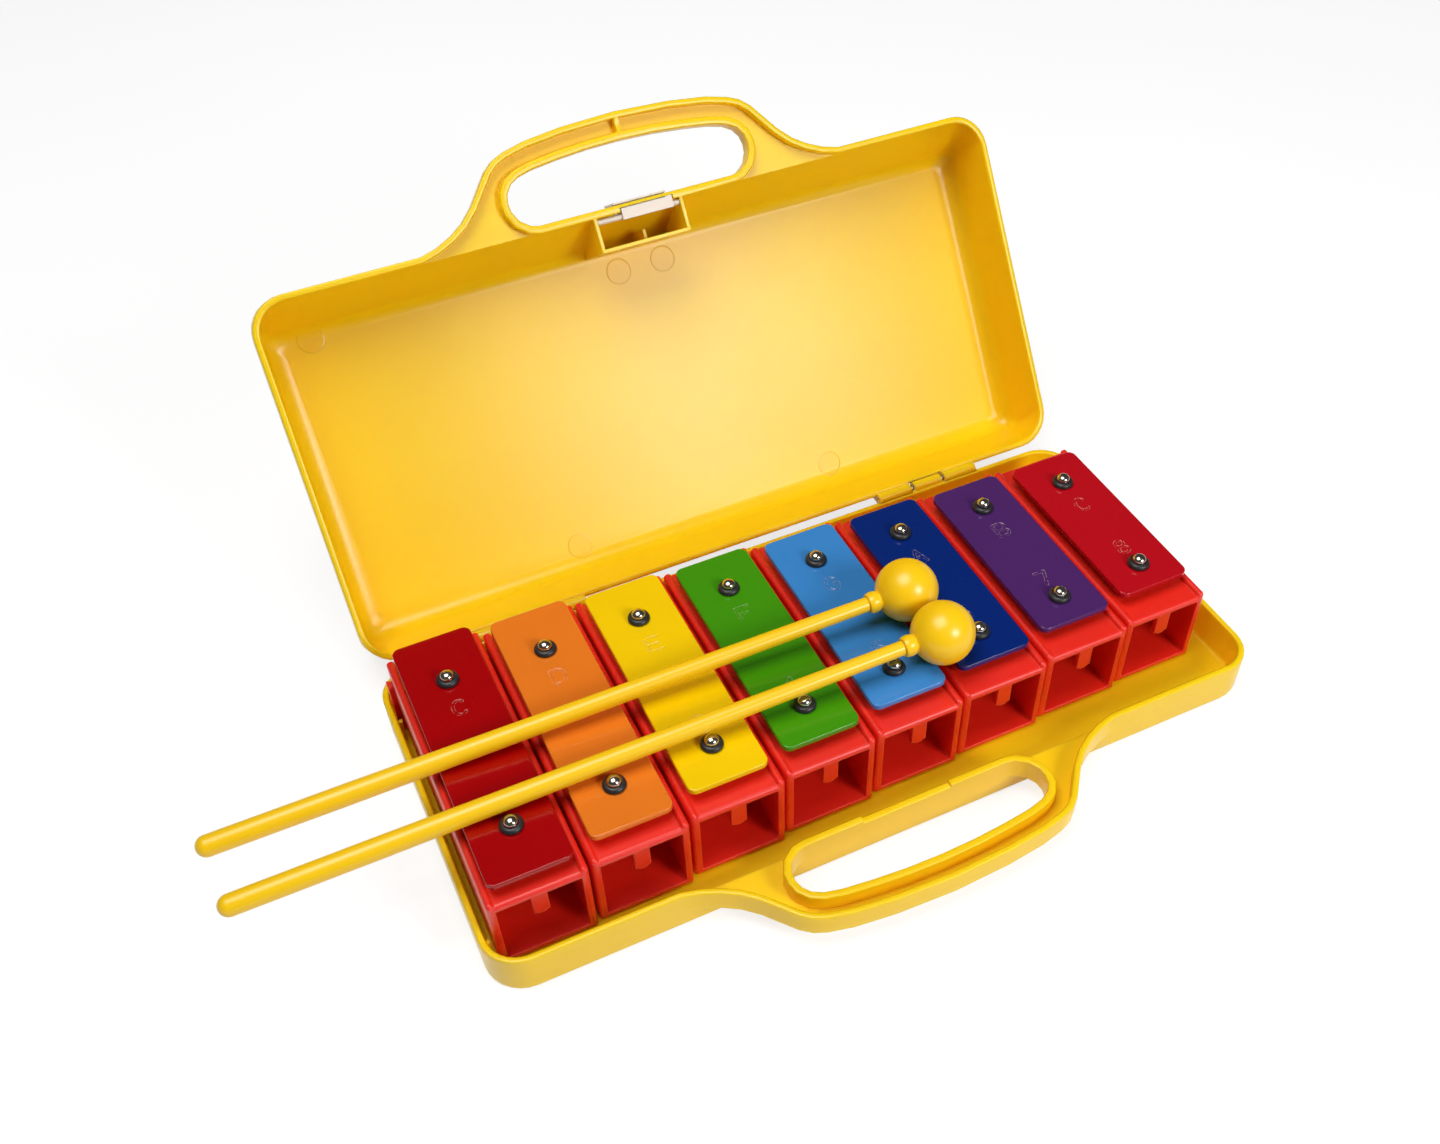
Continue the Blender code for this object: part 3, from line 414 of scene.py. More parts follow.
def moulded_group():
    """Moulded plastic: slow drift of colour, a painted highlight of lighter colour along rounded
    edges, fine skin and scuffs.
    """
    group = bpy.data.node_groups.get("Moulded Skin")
    if group is not None:
        return group
    group, entry, leave = new_group("Moulded Skin", (
        ("Colour", "Color", (0.8, 0.4, 0.1, 1.0)),
        ("Edge Colour", "Color", (0.9, 0.6, 0.2, 1.0)),
        ("Edge Radius", "Float", 0.0004),
        ("Edge Strength", "Float", 2.5),
        ("Roughness", "Float", 0.35),
        ("Drift", "Float", 0.06),
        ("Skin", "Float", 0.5),
        ("Scuffs", "Float", 0.3),
    ), (("Colour", "Color"), ("Roughness", "Float"), ("Height", "Float"), ("Normal", "Vector")))
    place, inp = object_place(group), entry.outputs

    slow = noise(group, place, DRIFT_CELLS, 3.0, 0.55)
    change = sums(group, "ADD", swing(group, slow, inp["Drift"]), 1.0)
    drifted = shaded(group, inp["Colour"], change)
    # Painted highlight: where the rounded normal turns away from the true one, a lighter edge
    # colour is mixed in along the edges.
    rounded = put(group, "ShaderNodeBevel", {"Radius": inp["Edge Radius"]}, samples=BEVEL_SAMPLES)
    rounded = rounded.outputs["Normal"]
    true = put(group, "ShaderNodeNewGeometry").outputs["Normal"]
    turn = sums(group, "SUBTRACT", 1.0, between(group, "DOT_PRODUCT", rounded, true))
    edge = put(group, "ShaderNodeMath", {0: turn, 1: inp["Edge Strength"]},
               operation="MULTIPLY", use_clamp=True).outputs[0]
    tinted = blend_colour(group, "MIX", edge, drifted, inp["Edge Colour"])

    streaks = put(group, "ShaderNodeMapping", {
        "Vector": place, "Rotation": SCUFF_TURN, "Scale": SCUFF_CELLS,
    }).outputs["Vector"]
    lines = spread(group, noise(group, streaks, 1.0, 4.0, 0.6), 0.62, 0.78, 0.0, 1.0)
    patches = spread(group, noise(group, place, PATCH_CELLS), 0.45, 0.65, 0.0, 1.0)
    scuffs = share(group, share(group, lines, patches), inp["Scuffs"])
    fine = noise(group, place, GRAIN_CELLS)
    rough = sums(group, "ADD", inp["Roughness"], swing(group, slow, DRIFT_ROUGHNESS))
    rough = sums(group, "ADD", rough, share(group, scuffs, SCUFF_ROUGHNESS))
    rough = sums(group, "ADD", rough, swing(group, fine, GRAIN_ROUGHNESS))
    height = share(group, fine, inp["Skin"])
    height = sums(group, "SUBTRACT", height, share(group, scuffs, SCUFF_DEPTH))
    hand_out(group, leave, {
        "Colour": tinted, "Roughness": rough, "Height": height, "Normal": rounded,
    })
    return group


# Sprayed enamel: cells per metre of its noises, its dust, and the lighter colour along the stamp
# edges, worn paint with a painted highlight
POOL_CELLS, SPECK_CELLS, CLUSTER_CELLS, WEAR_CELLS, PEEL_CELLS = 38.0, 420.0, 60.0, 640.0, 520.0
DUST_COLOUR, WORN_AND_GLINT_COLOUR = (0.75, 0.72, 0.68, 1.0), (0.55, 0.40, 0.36, 1.0)
DUST_ROUGHNESS, POOL_ROUGHNESS, DUST_HEIGHT = 0.6, 0.06, 1.5


def enamel_group():
    """Sprayed enamel: a faint orange peel, slow pooling, settled dust, and stamp edges made lighter
    as worn paint with a painted highlight.
    """
    group = bpy.data.node_groups.get("Sprayed Enamel")
    if group is not None:
        return group
    group, entry, leave = new_group("Sprayed Enamel", (
        ("Colour", "Color", (0.5, 0.1, 0.1, 1.0)),
        ("Roughness", "Float", 0.16),
        ("Pooling", "Float", 0.10),
        ("Peel", "Float", 1.0),
        ("Dust", "Float", 0.05),
        ("Wear", "Float", 0.45),
    ), (("Colour", "Color"), ("Roughness", "Float"), ("Height", "Float")))
    place, inp = object_place(group), entry.outputs
    slow = noise(group, place, POOL_CELLS, 3.0)
    change = sums(group, "ADD", swing(group, slow, inp["Pooling"]), 1.0)
    pooled = shaded(group, inp["Colour"], change)
    specks = put(group, "ShaderNodeTexVoronoi", {"Vector": place, "Scale": SPECK_CELLS})
    dots = spread(group, specks.outputs["Distance"], 0.03, 0.09, 1.0, 0.0)
    sparse = spread(group, noise(group, place, CLUSTER_CELLS), 0.55, 0.62, 0.0, 1.0)
    dust = share(group, share(group, dots, sparse), inp["Dust"])
    dusted = blend_colour(group, "MIX", dust, pooled, DUST_COLOUR)
    # Stamp edges: a lighter colour, partly worn paint and partly a painted highlight along the
    # groove walls.
    stamped = put(group, "ShaderNodeAttribute", attribute_name="stamp_edge").outputs["Fac"]
    broken = spread(group, noise(group, place, WEAR_CELLS), 0.42, 0.58, 0.0, 1.0)
    wear_and_glint = share(group, share(group, stamped, broken), inp["Wear"])
    worn_and_glint = blend_colour(group, "MIX", wear_and_glint, dusted, WORN_AND_GLINT_COLOUR)
    rough = sums(group, "ADD", inp["Roughness"], share(group, dust, DUST_ROUGHNESS))
    rough = sums(group, "ADD", rough, swing(group, slow, POOL_ROUGHNESS))
    peel = share(group, noise(group, place, PEEL_CELLS, 1.0), inp["Peel"])
    height = sums(group, "ADD", peel, share(group, dust, DUST_HEIGHT))
    hand_out(group, leave, {"Colour": worn_and_glint, "Roughness": rough, "Height": height})
    return group


# Plated metal: cells per metre of its noises, and what tarnish does
CLOUD_CELLS, PIT_CELLS = 700.0, 5000.0
TARNISH_VALUE, TARNISH_SATURATION = 0.62, 1.25
TARNISH_ROUGHNESS, PIT_ROUGHNESS = 0.16, 0.06


def plated_group():
    """Plated metal: a little tarnish in clouds, and small pits."""
    group = bpy.data.node_groups.get("Plated Metal")
    if group is not None:
        return group
    group, entry, leave = new_group("Plated Metal", (
        ("Colour", "Color", (0.6, 0.6, 0.6, 1.0)),
        ("Roughness", "Float", 0.14),
        ("Tarnish", "Float", 0.35),
    ), (("Colour", "Color"), ("Roughness", "Float"), ("Height", "Float")))
    place, inp = object_place(group), entry.outputs
    cloud = spread(group, noise(group, place, CLOUD_CELLS, 4.0, 0.6), 0.4, 0.7, 0.0, 1.0)
    stain = share(group, cloud, inp["Tarnish"])
    darker = shaded(group, inp["Colour"], TARNISH_VALUE, TARNISH_SATURATION)
    tinted = blend_colour(group, "MIX", stain, inp["Colour"], darker)
    fine = noise(group, place, PIT_CELLS, 3.0)
    rough = sums(group, "ADD", inp["Roughness"], share(group, stain, TARNISH_ROUGHNESS))
    rough = sums(group, "ADD", rough, swing(group, fine, PIT_ROUGHNESS))
    hand_out(group, leave, {"Colour": tinted, "Roughness": rough, "Height": fine})
    return group


# Ejector marks: lengths in metres, the step in units of the bump's depth
MARK_REACH, MARK_STEP, MARK_LINE = (0.0009, 0.0011), 0.0002, (0.0001, 0.0004)
MARK_HEIGHT, MARK_LINE_SHADE_STRENGTH, MARK_TINT, MARK_VALUE = 3.0, 0.30, 0.03, 0.55


def ring_group():
    """A round ejector mark on one face: a fine step round a point with a line of painted shade
    along it, and a slight darkening inside.
    """
    group = bpy.data.node_groups.get("Ejector Mark")
    if group is not None:
        return group
    group, entry, leave = new_group("Ejector Mark", (
        ("Colour", "Color", (0.9, 0.6, 0.1, 1.0)),
        ("Centre", "Vector", (0.0, 0.0, 0.0)),
        ("Facing", "Vector", (0.0, 0.0, 1.0)),
        ("Radius", "Float", 0.005),
        ("Height", "Float", 0.0),
    ), (("Colour", "Color"), ("Height", "Float")))
    place, inp = object_place(group), entry.outputs
    past = sums(group, "SUBTRACT", between(group, "DISTANCE", place, inp["Centre"]), inp["Radius"])
    offset = between(group, "SUBTRACT", place, inp["Centre"], "Vector")
    depth = unsigned(group, between(group, "DOT_PRODUCT", offset, inp["Facing"]))
    on_face = spread(group, depth, *MARK_REACH, 1.0, 0.0)
    inside = share(group, spread(group, past, -MARK_STEP, MARK_STEP, MARK_HEIGHT, 0.0), on_face)
    # Painted shade: a darker line along the mark's step.
    line = spread(group, unsigned(group, past), *MARK_LINE, MARK_LINE_SHADE_STRENGTH, 0.0)
    shade = sums(group, "ADD", share(group, line, on_face), share(group, inside, MARK_TINT))
    darker = shaded(group, inp["Colour"], MARK_VALUE)
    hand_out(group, leave, {
        "Colour": blend_colour(group, "MIX", shade, inp["Colour"], darker),
        "Height": sums(group, "ADD", inp["Height"], inside),
    })
    return group


def material(name, group, values, depth, **shader):
    """A Principled material fed by an effect group, its bump depth in metres."""
    mat = bpy.data.materials.new(name)
    mat.use_nodes = True
    tree = mat.node_tree
    bsdf = tree.nodes["Principled BSDF"]
    effect = tree.nodes.new("ShaderNodeGroup")
    effect.node_tree = group
    for key, value in values.items():
        effect.inputs[key].default_value = (*value, 1.0) if np.ndim(value) else value
    bump = put(tree, "ShaderNodeBump", {"Strength": 1.0, "Distance": depth})
    tree.links.new(effect.outputs["Height"], bump.inputs["Height"])
    if "Normal" in effect.outputs:
        tree.links.new(effect.outputs["Normal"], bump.inputs["Normal"])
    tree.links.new(effect.outputs["Colour"], bsdf.inputs["Base Color"])
    tree.links.new(effect.outputs["Roughness"], bsdf.inputs["Roughness"])
    tree.links.new(bump.outputs["Normal"], bsdf.inputs["Normal"])
    for key, value in shader.items():
        bsdf.inputs[key.replace("_", " ")].default_value = value
    mat.diffuse_color = (*values["Colour"], 1.0)
    return mat


def plastic(
    name, tint, edge, roughness, radius, drift=0.05, scuffs=0.3, grain=0.5, depth=0.00002, **shader,
):
    """Moulded plastic with a rounded look along its edges and a painted highlight in the edge
    colour; radius in mm.
    """
    return material(name, moulded_group(), {
        "Colour": tint, "Edge Colour": edge, "Roughness": roughness, "Edge Radius": radius * MM,
        "Drift": drift, "Scuffs": scuffs, "Skin": grain,
    }, depth, **shader)


# Stamped marks, in a box one wide and one high about the origin

def curve(centre, radii, start, end, count=14):
    """Points on an ellipse's arc, angles in degrees."""
    angle = np.radians(np.linspace(start, end, count))
    return np.column_stack([
        centre[0] + radii[0] * np.cos(angle), centre[1] + radii[1] * np.sin(angle),
    ])


def run(*points):
    """Points joined by straight strokes."""
    return np.array(points, dtype=float)


LEFT, RIGHT, TOP, LOW = -0.5, 0.5, 0.5, -0.5
MARKS = {
    "C": [curve((0, 0), (0.5, 0.5), 48, 312, 22)],
    "D": [np.vstack([run((LEFT, LOW), (LEFT, TOP)), curve((0, 0), (0.5, 0.5), 90, -90, 18),
                     run((LEFT, LOW))])],
    "E": [run((RIGHT, TOP), (LEFT, TOP), (LEFT, LOW), (RIGHT, LOW)), run((LEFT, 0), (0.3, 0))],
    "F": [run((RIGHT, TOP), (LEFT, TOP), (LEFT, LOW)), run((LEFT, 0), (0.3, 0))],
    "G": [np.vstack([curve((0, 0), (0.5, 0.5), 48, 325, 22), run((RIGHT, 0), (0.1, 0))])],
    "A": [run((LEFT, LOW), (0, TOP), (RIGHT, LOW)), run((-0.3, -0.12), (0.3, -0.12))],
    "B": [np.vstack([run((LEFT, 0), (LEFT, TOP)), curve((0.1, 0.25), (0.36, 0.25), 90, -90, 12),
                     curve((0.12, -0.25), (0.4, 0.25), 90, -90, 12),
                     run((LEFT, LOW), (LEFT, 0.02), (0.1, 0.0))])],
    "1": [run((-0.22, 0.26), (0.06, TOP), (0.06, LOW))],
    "2": [np.vstack([curve((0, 0.2), (0.42, 0.3), 165, -28, 14), run((-0.45, LOW), (0.45, LOW))])],
    "3": [curve((-0.02, 0.25), (0.4, 0.25), 150, -90, 12),
          curve((-0.02, -0.25), (0.44, 0.25), 90, -150, 12)],
    "4": [run((0.2, LOW), (0.2, TOP), (-0.48, -0.22), (0.48, -0.22))],
    "5": [np.vstack([run((0.4, TOP), (-0.34, TOP), (-0.4, 0.06)),
                     curve((-0.02, -0.16), (0.44, 0.34), 120, -140, 16)])],
    "6": [np.vstack([run((0.22, TOP), (-0.3, 0.05)),
                     curve((0, -0.2), (0.42, 0.3), 150, 510, 22)])],
    "7": [run((-0.44, TOP), (0.44, TOP), (-0.08, LOW))],
    "8": [curve((0, 0.26), (0.36, 0.24), -90, 270, 20),
          curve((0, -0.24), (0.42, 0.26), 90, 450, 20)],
}
LETTERS = ("C", "D", "E", "F", "G", "A", "B", "C")


def stroke_distance(points, strokes):
    """Distance from each point to the nearest of the strokes' straight pieces."""
    nearest = np.full(len(points), np.inf)
    starts = np.vstack([s[:-1] for s in strokes])
    steps = np.vstack([s[1:] - s[:-1] for s in strokes])
    for start, step in zip(starts, steps):
        along = np.clip((points - start) @ step / max(step @ step, 1e-9), 0.0, 1.0)
        gap = points - start - along[:, None] * step
        nearest = np.minimum(nearest, np.hypot(gap[:, 0], gap[:, 1]))
    return nearest


# Tone bars

# Wide grid steps across and along a bar, and the fine grid's room round a mark, in mm
BAR_STEP_ACROSS, BAR_STEP_ALONG, MARK_ROOM = 2.4, 2.8, 0.4
CORNER_STEPS, EDGE_STEPS = 6, 4
# Widths of a stroke's slope and of the rim beside it, painted lighter as wear and highlight, in
# grid pitches
STAMP_SLOPE, STAMP_RIM = 2.4, 1.5
TINY = 1e-9


def stations(half, corner, zones, pitch, coarse):
    """Grid lines from minus to plus half: close inside the zones and corners, wide elsewhere."""
    edges = [-half, corner - half, half - corner, half]
    for zone in zones:
        edges += zone
    edges = sorted(edges)
    parts = []
    for a, b in zip(edges[:-1], edges[1:]):
        middle = (a + b) / 2
        step = pitch if any(z[0] < middle < z[1] for z in zones) else coarse
        if abs(middle) > half - corner:
            step = corner / CORNER_STEPS
        parts.append(np.linspace(a, b, max(2, round((b - a) / step) + 1))[:-1])
    return np.concatenate([*parts, [half]])


def rounded_rectangle(x, y, half_x, half_y, corner):
    """A function of an inset that gives a rectangle's grid with its corners as quarter discs.

    Within a corner, a point (a, b) in units of the radius goes to (a sqrt(1 - b b / 2),
    b sqrt(1 - a a / 2)), which carries the square's outer edges onto the arc. The inset draws
    the border in all round, and the points inside a corner less than that.
    """
    a = np.clip((np.abs(x) - (half_x - corner)) / corner, 0.0, 1.0)
    b = np.clip((np.abs(y) - (half_y - corner)) / corner, 0.0, 1.0)
    out_x, out_y = a * np.sqrt(1.0 - b ** 2 / 2), b * np.sqrt(1.0 - a ** 2 / 2)
    near = np.clip(np.hypot(a, b), 0.0, 1.0) / np.maximum(np.hypot(out_x, out_y), TINY)
    inside_x = np.minimum(np.abs(x), half_x - corner)
    inside_y = np.minimum(np.abs(y), half_y - corner)

    def drawn_in(inset):
        reach = corner - inset * near
        return np.sign(x) * (inside_x + out_x * reach), np.sign(y) * (inside_y + out_y * reach)

    return drawn_in


def stamp(points, mark, centre, marks):
    """How deep a mark sinks each point, by a smooth step, and where the stroke's edge runs."""
    strokes = [s * (marks.width, marks.height) + (0.0, centre) for s in MARKS[mark]]
    gap = stroke_distance(points, strokes)
    step = np.clip((marks.stroke - gap) / (STAMP_SLOPE * marks.pitch), 0.0, 1.0)
    rim = np.clip(STAMP_RIM - np.abs(gap - marks.stroke) / marks.pitch, 0.0, 1.0)
    return marks.depth * step * step * (3.0 - 2.0 * step), rim


def closed_bar(name, outline, depth, edge, low, top, middle):
    """Joins the bar's top, its rounded rim and its bottom into one closed surface.

    The top and the bottom are the same grid. The rim's rows follow the grid's border, drawn in
    and let down along a quarter circle at either edge.
    """
    x, y = outline(edge)
    number_of = np.arange(x.size).reshape(x.shape)
    border = np.concatenate([
        number_of[:-1, 0], number_of[-1, :-1], number_of[:0:-1, -1], number_of[0, :0:-1],
    ])
    layers = [np.column_stack([x.ravel(), y.ravel(), top - depth])]
    loops, start = [border], x.size
    turns = np.radians(np.linspace(0, 90, EDGE_STEPS + 1))[1:]
    rows = [(edge * (1 - math.sin(t)), top - edge * (1 - math.cos(t))) for t in turns]
    rows += [(inset, low + top - z) for inset, z in rows[::-1]]
    for inset, z in rows:
        rim_x, rim_y = outline(inset)
        layers.append(np.column_stack([
            rim_x.ravel()[border], rim_y.ravel()[border], np.full(len(border), z),
        ]))
        loops.append(start + np.arange(len(border)))
        start += len(border)
    layers.append(np.column_stack([x.ravel(), y.ravel(), np.full(x.size, low)]))
    loops.append(start + border)

    quads = np.stack([
        number_of[:-1, :-1], number_of[1:, :-1], number_of[1:, 1:], number_of[:-1, 1:],
    ], axis=-1).reshape(-1, 4)
    faces = [quads, start + quads[:, ::-1]]
    for upper, lower in zip(loops, loops[1:]):
        faces.append(np.column_stack([upper, lower, np.roll(lower, -1), np.roll(upper, -1)]))
    points = np.vstack(layers) + (*middle, 0.0)
    return mesh_object(name, points * MM, np.vstack(faces))


def bar_mesh(name, lowest, highest, screws, letter, number, settings, marks):
    """A tone bar with rounded edges and its two marks stamped into the top, in mm."""
    half_x, half_y = (highest[0] - lowest[0]) / 2, (highest[1] - lowest[1]) / 2
    middle = ((highest[0] + lowest[0]) / 2, (highest[1] + lowest[1]) / 2)
    corner = settings.bar_corner
    reach_x = marks.width / 2 + marks.stroke + MARK_ROOM
    reach_y = marks.height / 2 + marks.stroke + MARK_ROOM
    centres = {
        letter: screws["back"] - marks.letter_gap - middle[1],
        number: screws["front"] + marks.number_gap - middle[1],
    }
    zones = [(c - reach_y, c + reach_y) for c in centres.values()]
    xs = stations(half_x, corner, [(-reach_x, reach_x)], marks.pitch, BAR_STEP_ACROSS)
    ys = stations(half_y, corner, zones, marks.pitch, BAR_STEP_ALONG)
    outline = rounded_rectangle(*np.meshgrid(xs, ys, indexing="ij"), half_x, half_y, corner)

    x, y = outline(settings.bar_edge)
    top = np.column_stack([x.ravel(), y.ravel()])
    stamps = [stamp(top, mark, centre, marks) for mark, centre in centres.items()]
    depth, rims = np.max(stamps, axis=0)
    bar = closed_bar(name, outline, depth, settings.bar_edge, lowest[2], highest[2], middle)
    worn_and_glint = np.concatenate([rims, np.zeros(len(bar.data.vertices) - rims.size)])
    bar.data.attributes.new("stamp_edge", "FLOAT", "POINT").data.foreach_set("value", worn_and_glint)
    return bar


def box_mm(node):
    """A solid's lowest and highest corner, in mm."""
    lowest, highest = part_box(node)
    return np.array(lowest) / MM, np.array(highest) / MM


class BELLS_OT_bars(bpy.types.Operator):
    """Works the eight tone bars with rounded edges and stamped marks, in coloured enamel"""

    bl_idname = "bells.bars"
    bl_label = "Tone Bars"

    def execute(self, context):
        bells, marks = context.scene.bells_bell, context.scene.bells_mark
        for place, note in enumerate(NOTES):
            low, high = box_mm(f"bar_{note}")
            screws = {
                end: (sum(b[1] for b in box_mm(f"screw_{note}_{end}"))) / 2 for end in ENDS
            }
            bar = bar_mesh(
                f"tone_bar_{note}", low, high, screws, LETTERS[place], str(place + 1), bells, marks,
            )
            enamel = material(f"enamel_{note}", enamel_group(), {
                "Colour": tuple(getattr(bells, note)), "Roughness": bells.enamel_roughness,
            }, depth=0.00003, Coat_Weight=0.15, Coat_Roughness=0.06, Specular_IOR_Level=0.32)
            dress(bar, f"bell_{note}", f"enamel_{note}", enamel, f"bar_{note}")
        return {"FINISHED"}


# Screw head, its lower edge in from the radius and up from the seat, and its shank, in mm
HEAD_HEIGHT, HEAD_BAND = 2.35, 0.4
HEAD_EDGE = ((0.35, 0.0), (0.08, 0.12))
SHANK_RADIUS, SHANK_TIP, SHANK_TAPER = 1.5, 1.0, 1.0

# Grommet, in mm
NECK_RADIUS, BORE_RADIUS, BULGE_MIDDLE = 3.1, 1.7, 2.75
ROLL, FOOT_ROLL, FOOT_INSET, BAR_GAP = 0.6, 0.3, 0.1, 0.05
ROUND_STEPS, SCREW_SEGMENTS = 14, 40


def quarter():
    """Angles of a quarter turn."""
    return np.linspace(0.0, np.pi / 2, ROUND_STEPS)


def middle_of(low, high):
    """The place, in metres, of the upright line through a box's middle."""
    return ((low[0] + high[0]) / 2 * MM, (low[1] + high[1]) / 2 * MM, 0.0)


class BELLS_OT_screws(bpy.types.Operator):
    """Turns the dome-headed screws and their bulging rubber grommets"""

    bl_idname = "bells.screws"
    bl_label = "Screws and Grommets"

    def execute(self, context):
        bells = context.scene.bells_bell
        nickel = material("screw_nickel", plated_group(), {
            "Colour": tuple(bells.nickel), "Roughness": 0.16,
        }, depth=0.000004, Metallic=1.0)
        # The rubber's edge colour is a painted highlight: a lighter grey along the grommets' edges.
        rubber = plastic(
            "grommet_rubber", tuple(bells.rubber), (0.05, 0.05, 0.052), roughness=0.42,
            radius=0.3, drift=0.25, scuffs=0.6, depth=0.00004,
        )
        for note in NOTES:
            for end in ENDS:
                self.screw(f"screw_{note}_{end}", note, nickel)
                self.grommet(f"grommet_{note}_{end}", note, rubber)
        return {"FINISHED"}

    def screw(self, node, note, finish):
        """A dome on a short band: a circular arc from the band up to the top, over a shank."""
        low, high = box_mm(node)
        radius, top = (high[0] - low[0]) / 2, high[2]
        seat = top - HEAD_HEIGHT
        dome = radius * np.cos(quarter())
        lift = seat + HEAD_BAND + (HEAD_HEIGHT - HEAD_BAND) * np.sin(quarter())
        profile = np.vstack([
            [(0.0, low[2]), (SHANK_TIP, low[2]), (SHANK_RADIUS, low[2] + SHANK_TAPER),
             (SHANK_RADIUS, seat - 0.02)],
            [(radius - inward, seat + up) for inward, up in HEAD_EDGE],
            np.column_stack([dome, lift]),
        ])
        profile[-1, 0] = 0.0
        piece = turned(f"dome_{node}", profile, middle_of(low, high), UP, SCREW_SEGMENTS)
        dress(piece, f"bell_{note}", "screw_nickel", finish, node)

    def grommet(self, node, note, finish):
        """A collar that bulges above the bar, a neck through it and a foot below."""
        low, high = box_mm(node)
        radius, top, foot = (high[0] - low[0]) / 2, high[2], low[2]
        bar_low, bar_top = box_mm(f"bar_{note}")
        under, above = bar_low[2] - BAR_GAP, bar_top[2] + BAR_GAP
        lower, upper = np.radians(np.linspace(-90, 0, 6)), quarter()
        side = radius - FOOT_INSET
        profile = np.vstack([
            [(BORE_RADIUS, foot), (side - FOOT_ROLL, foot), (side, foot + FOOT_ROLL),
             (side, under - FOOT_ROLL), (side - FOOT_ROLL, under), (NECK_RADIUS, under),
             (NECK_RADIUS, above)],
            np.column_stack([
                radius - ROLL + ROLL * np.cos(lower), above + ROLL + ROLL * np.sin(lower),
            ]),
            np.column_stack([
                BULGE_MIDDLE + (radius - BULGE_MIDDLE) * np.cos(upper),
                above + ROLL + (top - above - ROLL) * np.sin(upper),
            ])[1:],
            [(BORE_RADIUS, top), (BORE_RADIUS, foot)],
        ])
        piece = turned(f"collar_{node}", profile, middle_of(low, high), UP, SCREW_SEGMENTS)
        dress(piece, f"bell_{note}", "grommet_rubber", finish, node)


# Mallets: the collar's roll and where it leaves the ball, and the stick's room in its bore, in mm
COLLAR_ROLL, COLLAR_FOOT, BORE_ROOM = 0.5, 0.25, 0.05
# How deep the bore and the stick go, as shares of the ball's radius, and where the taper ends
BORE_SHARE, STICK_SHARE, TAPER_SHARE = 0.6, 0.62, 0.8
# Painted highlight: a lighter yellow along the mallets' rounded edges.
MALLET_EDGE_HIGHLIGHT = (0.93, 0.64, 0.08)


class BELLS_OT_mallets(bpy.types.Operator):
    """Turns the two mallets: a ball with a rounded collar, and a tapered stick"""

    bl_idname = "bells.mallets"
    bl_label = "Mallets"

    def execute(self, context):
        mallets = context.scene.bells_mallet
        stick_finish = plastic(
            "mallet_stick", tuple(mallets.stick), MALLET_EDGE_HIGHLIGHT, roughness=0.30, radius=0.3,
            drift=0.05, scuffs=0.4, grain=0.12,
        )
        ball_finish = plastic(
            "mallet_ball", tuple(mallets.ball), MALLET_EDGE_HIGHLIGHT, roughness=0.29, radius=0.3,
            drift=0.03, scuffs=0.25, grain=0.06,
        )
        for number in (1, 2):
            self.mallet(number, mallets, stick_finish, ball_finish)
        return {"FINISHED"}

    def mallet(self, number, mallets, stick_finish, ball_finish):
        """Both parts are turned about the line from the ball's centre to the stick's far end."""
        low, high = box_mm(f"mallet_{number}_head")
        ball = (high[1] - low[1]) / 2
        centre = np.array([high[0] - ball, (low[1] + high[1]) / 2, (low[2] + high[2]) / 2])
        low, high = box_mm(f"mallet_{number}_stick")
        tail = mallets.tail_radius
        far = np.array([low[0] + tail, high[1] - tail, low[2] + tail])
        axis = far - centre
        reach = np.linalg.norm(axis) + tail

        collar, run_out = mallets.collar_radius, mallets.collar_length
        seat = collar - COLLAR_ROLL
        start = math.sqrt(ball ** 2 - seat ** 2)
        angle = np.radians(np.linspace(180, math.degrees(math.asin(seat / ball)), 48))
        swell = np.sin(np.linspace(0.0, np.pi, 16))
        bore, floor = mallets.tip_radius + BORE_ROOM, ball * BORE_SHARE
        profile = np.vstack([
            np.column_stack([ball * np.sin(angle), ball * np.cos(angle)]),
            np.column_stack([
                seat + COLLAR_ROLL * swell ** 0.6,
                start + COLLAR_FOOT + np.linspace(0.0, run_out - COLLAR_FOOT, 16),
            ]),
            [(bore, start + run_out - BORE_ROOM), (bore, floor), (0.0, floor)],
        ])
        profile[0, 0] = 0.0
        origin = tuple(centre * MM)
        head = turned(f"ball_{number}", profile, origin, axis, mallets.segments)
        dress(head, f"mallet_{number}", "mallet_head_yellow", ball_finish, f"mallet_{number}_head")

        tip, angle = mallets.tip_radius, quarter()
        profile = np.vstack([
            [(0.0, ball * STICK_SHARE), (tip, ball * STICK_SHARE)],
            np.column_stack([
                np.linspace(tip, tail, 40), np.linspace(start + run_out, reach * TAPER_SHARE, 40),
            ]),
            np.column_stack([tail * np.cos(angle), reach - tail + tail * np.sin(angle)]),
        ])
        profile[-1, 0] = 0.0
        stick = turned(f"stick_{number}", profile, origin, axis, mallets.segments // 2)
        dress(stick, f"mallet_{number}", "mallet_stick_yellow", stick_finish,
              f"mallet_{number}_stick")


# Middles of the round marks inside the lid, in mm: across, and up the panel from the hinge
EJECTOR_MARKS = ((-7.4, 116.6), (11.9, 116.9), (-131.6, 122.8), (-55.8, 15.2), (60.2, 14.9))
PANEL_FOOT = Vector((0.0, 96.325, 1.965))
PANEL_RISE = Vector((0.0, 0.5756, 0.8177))


def on_panel(across, along):
    """A point on the lid's inner face, in mm."""
    return PANEL_FOOT + PANEL_RISE * along + Vector((across, 0.0, 0.0))


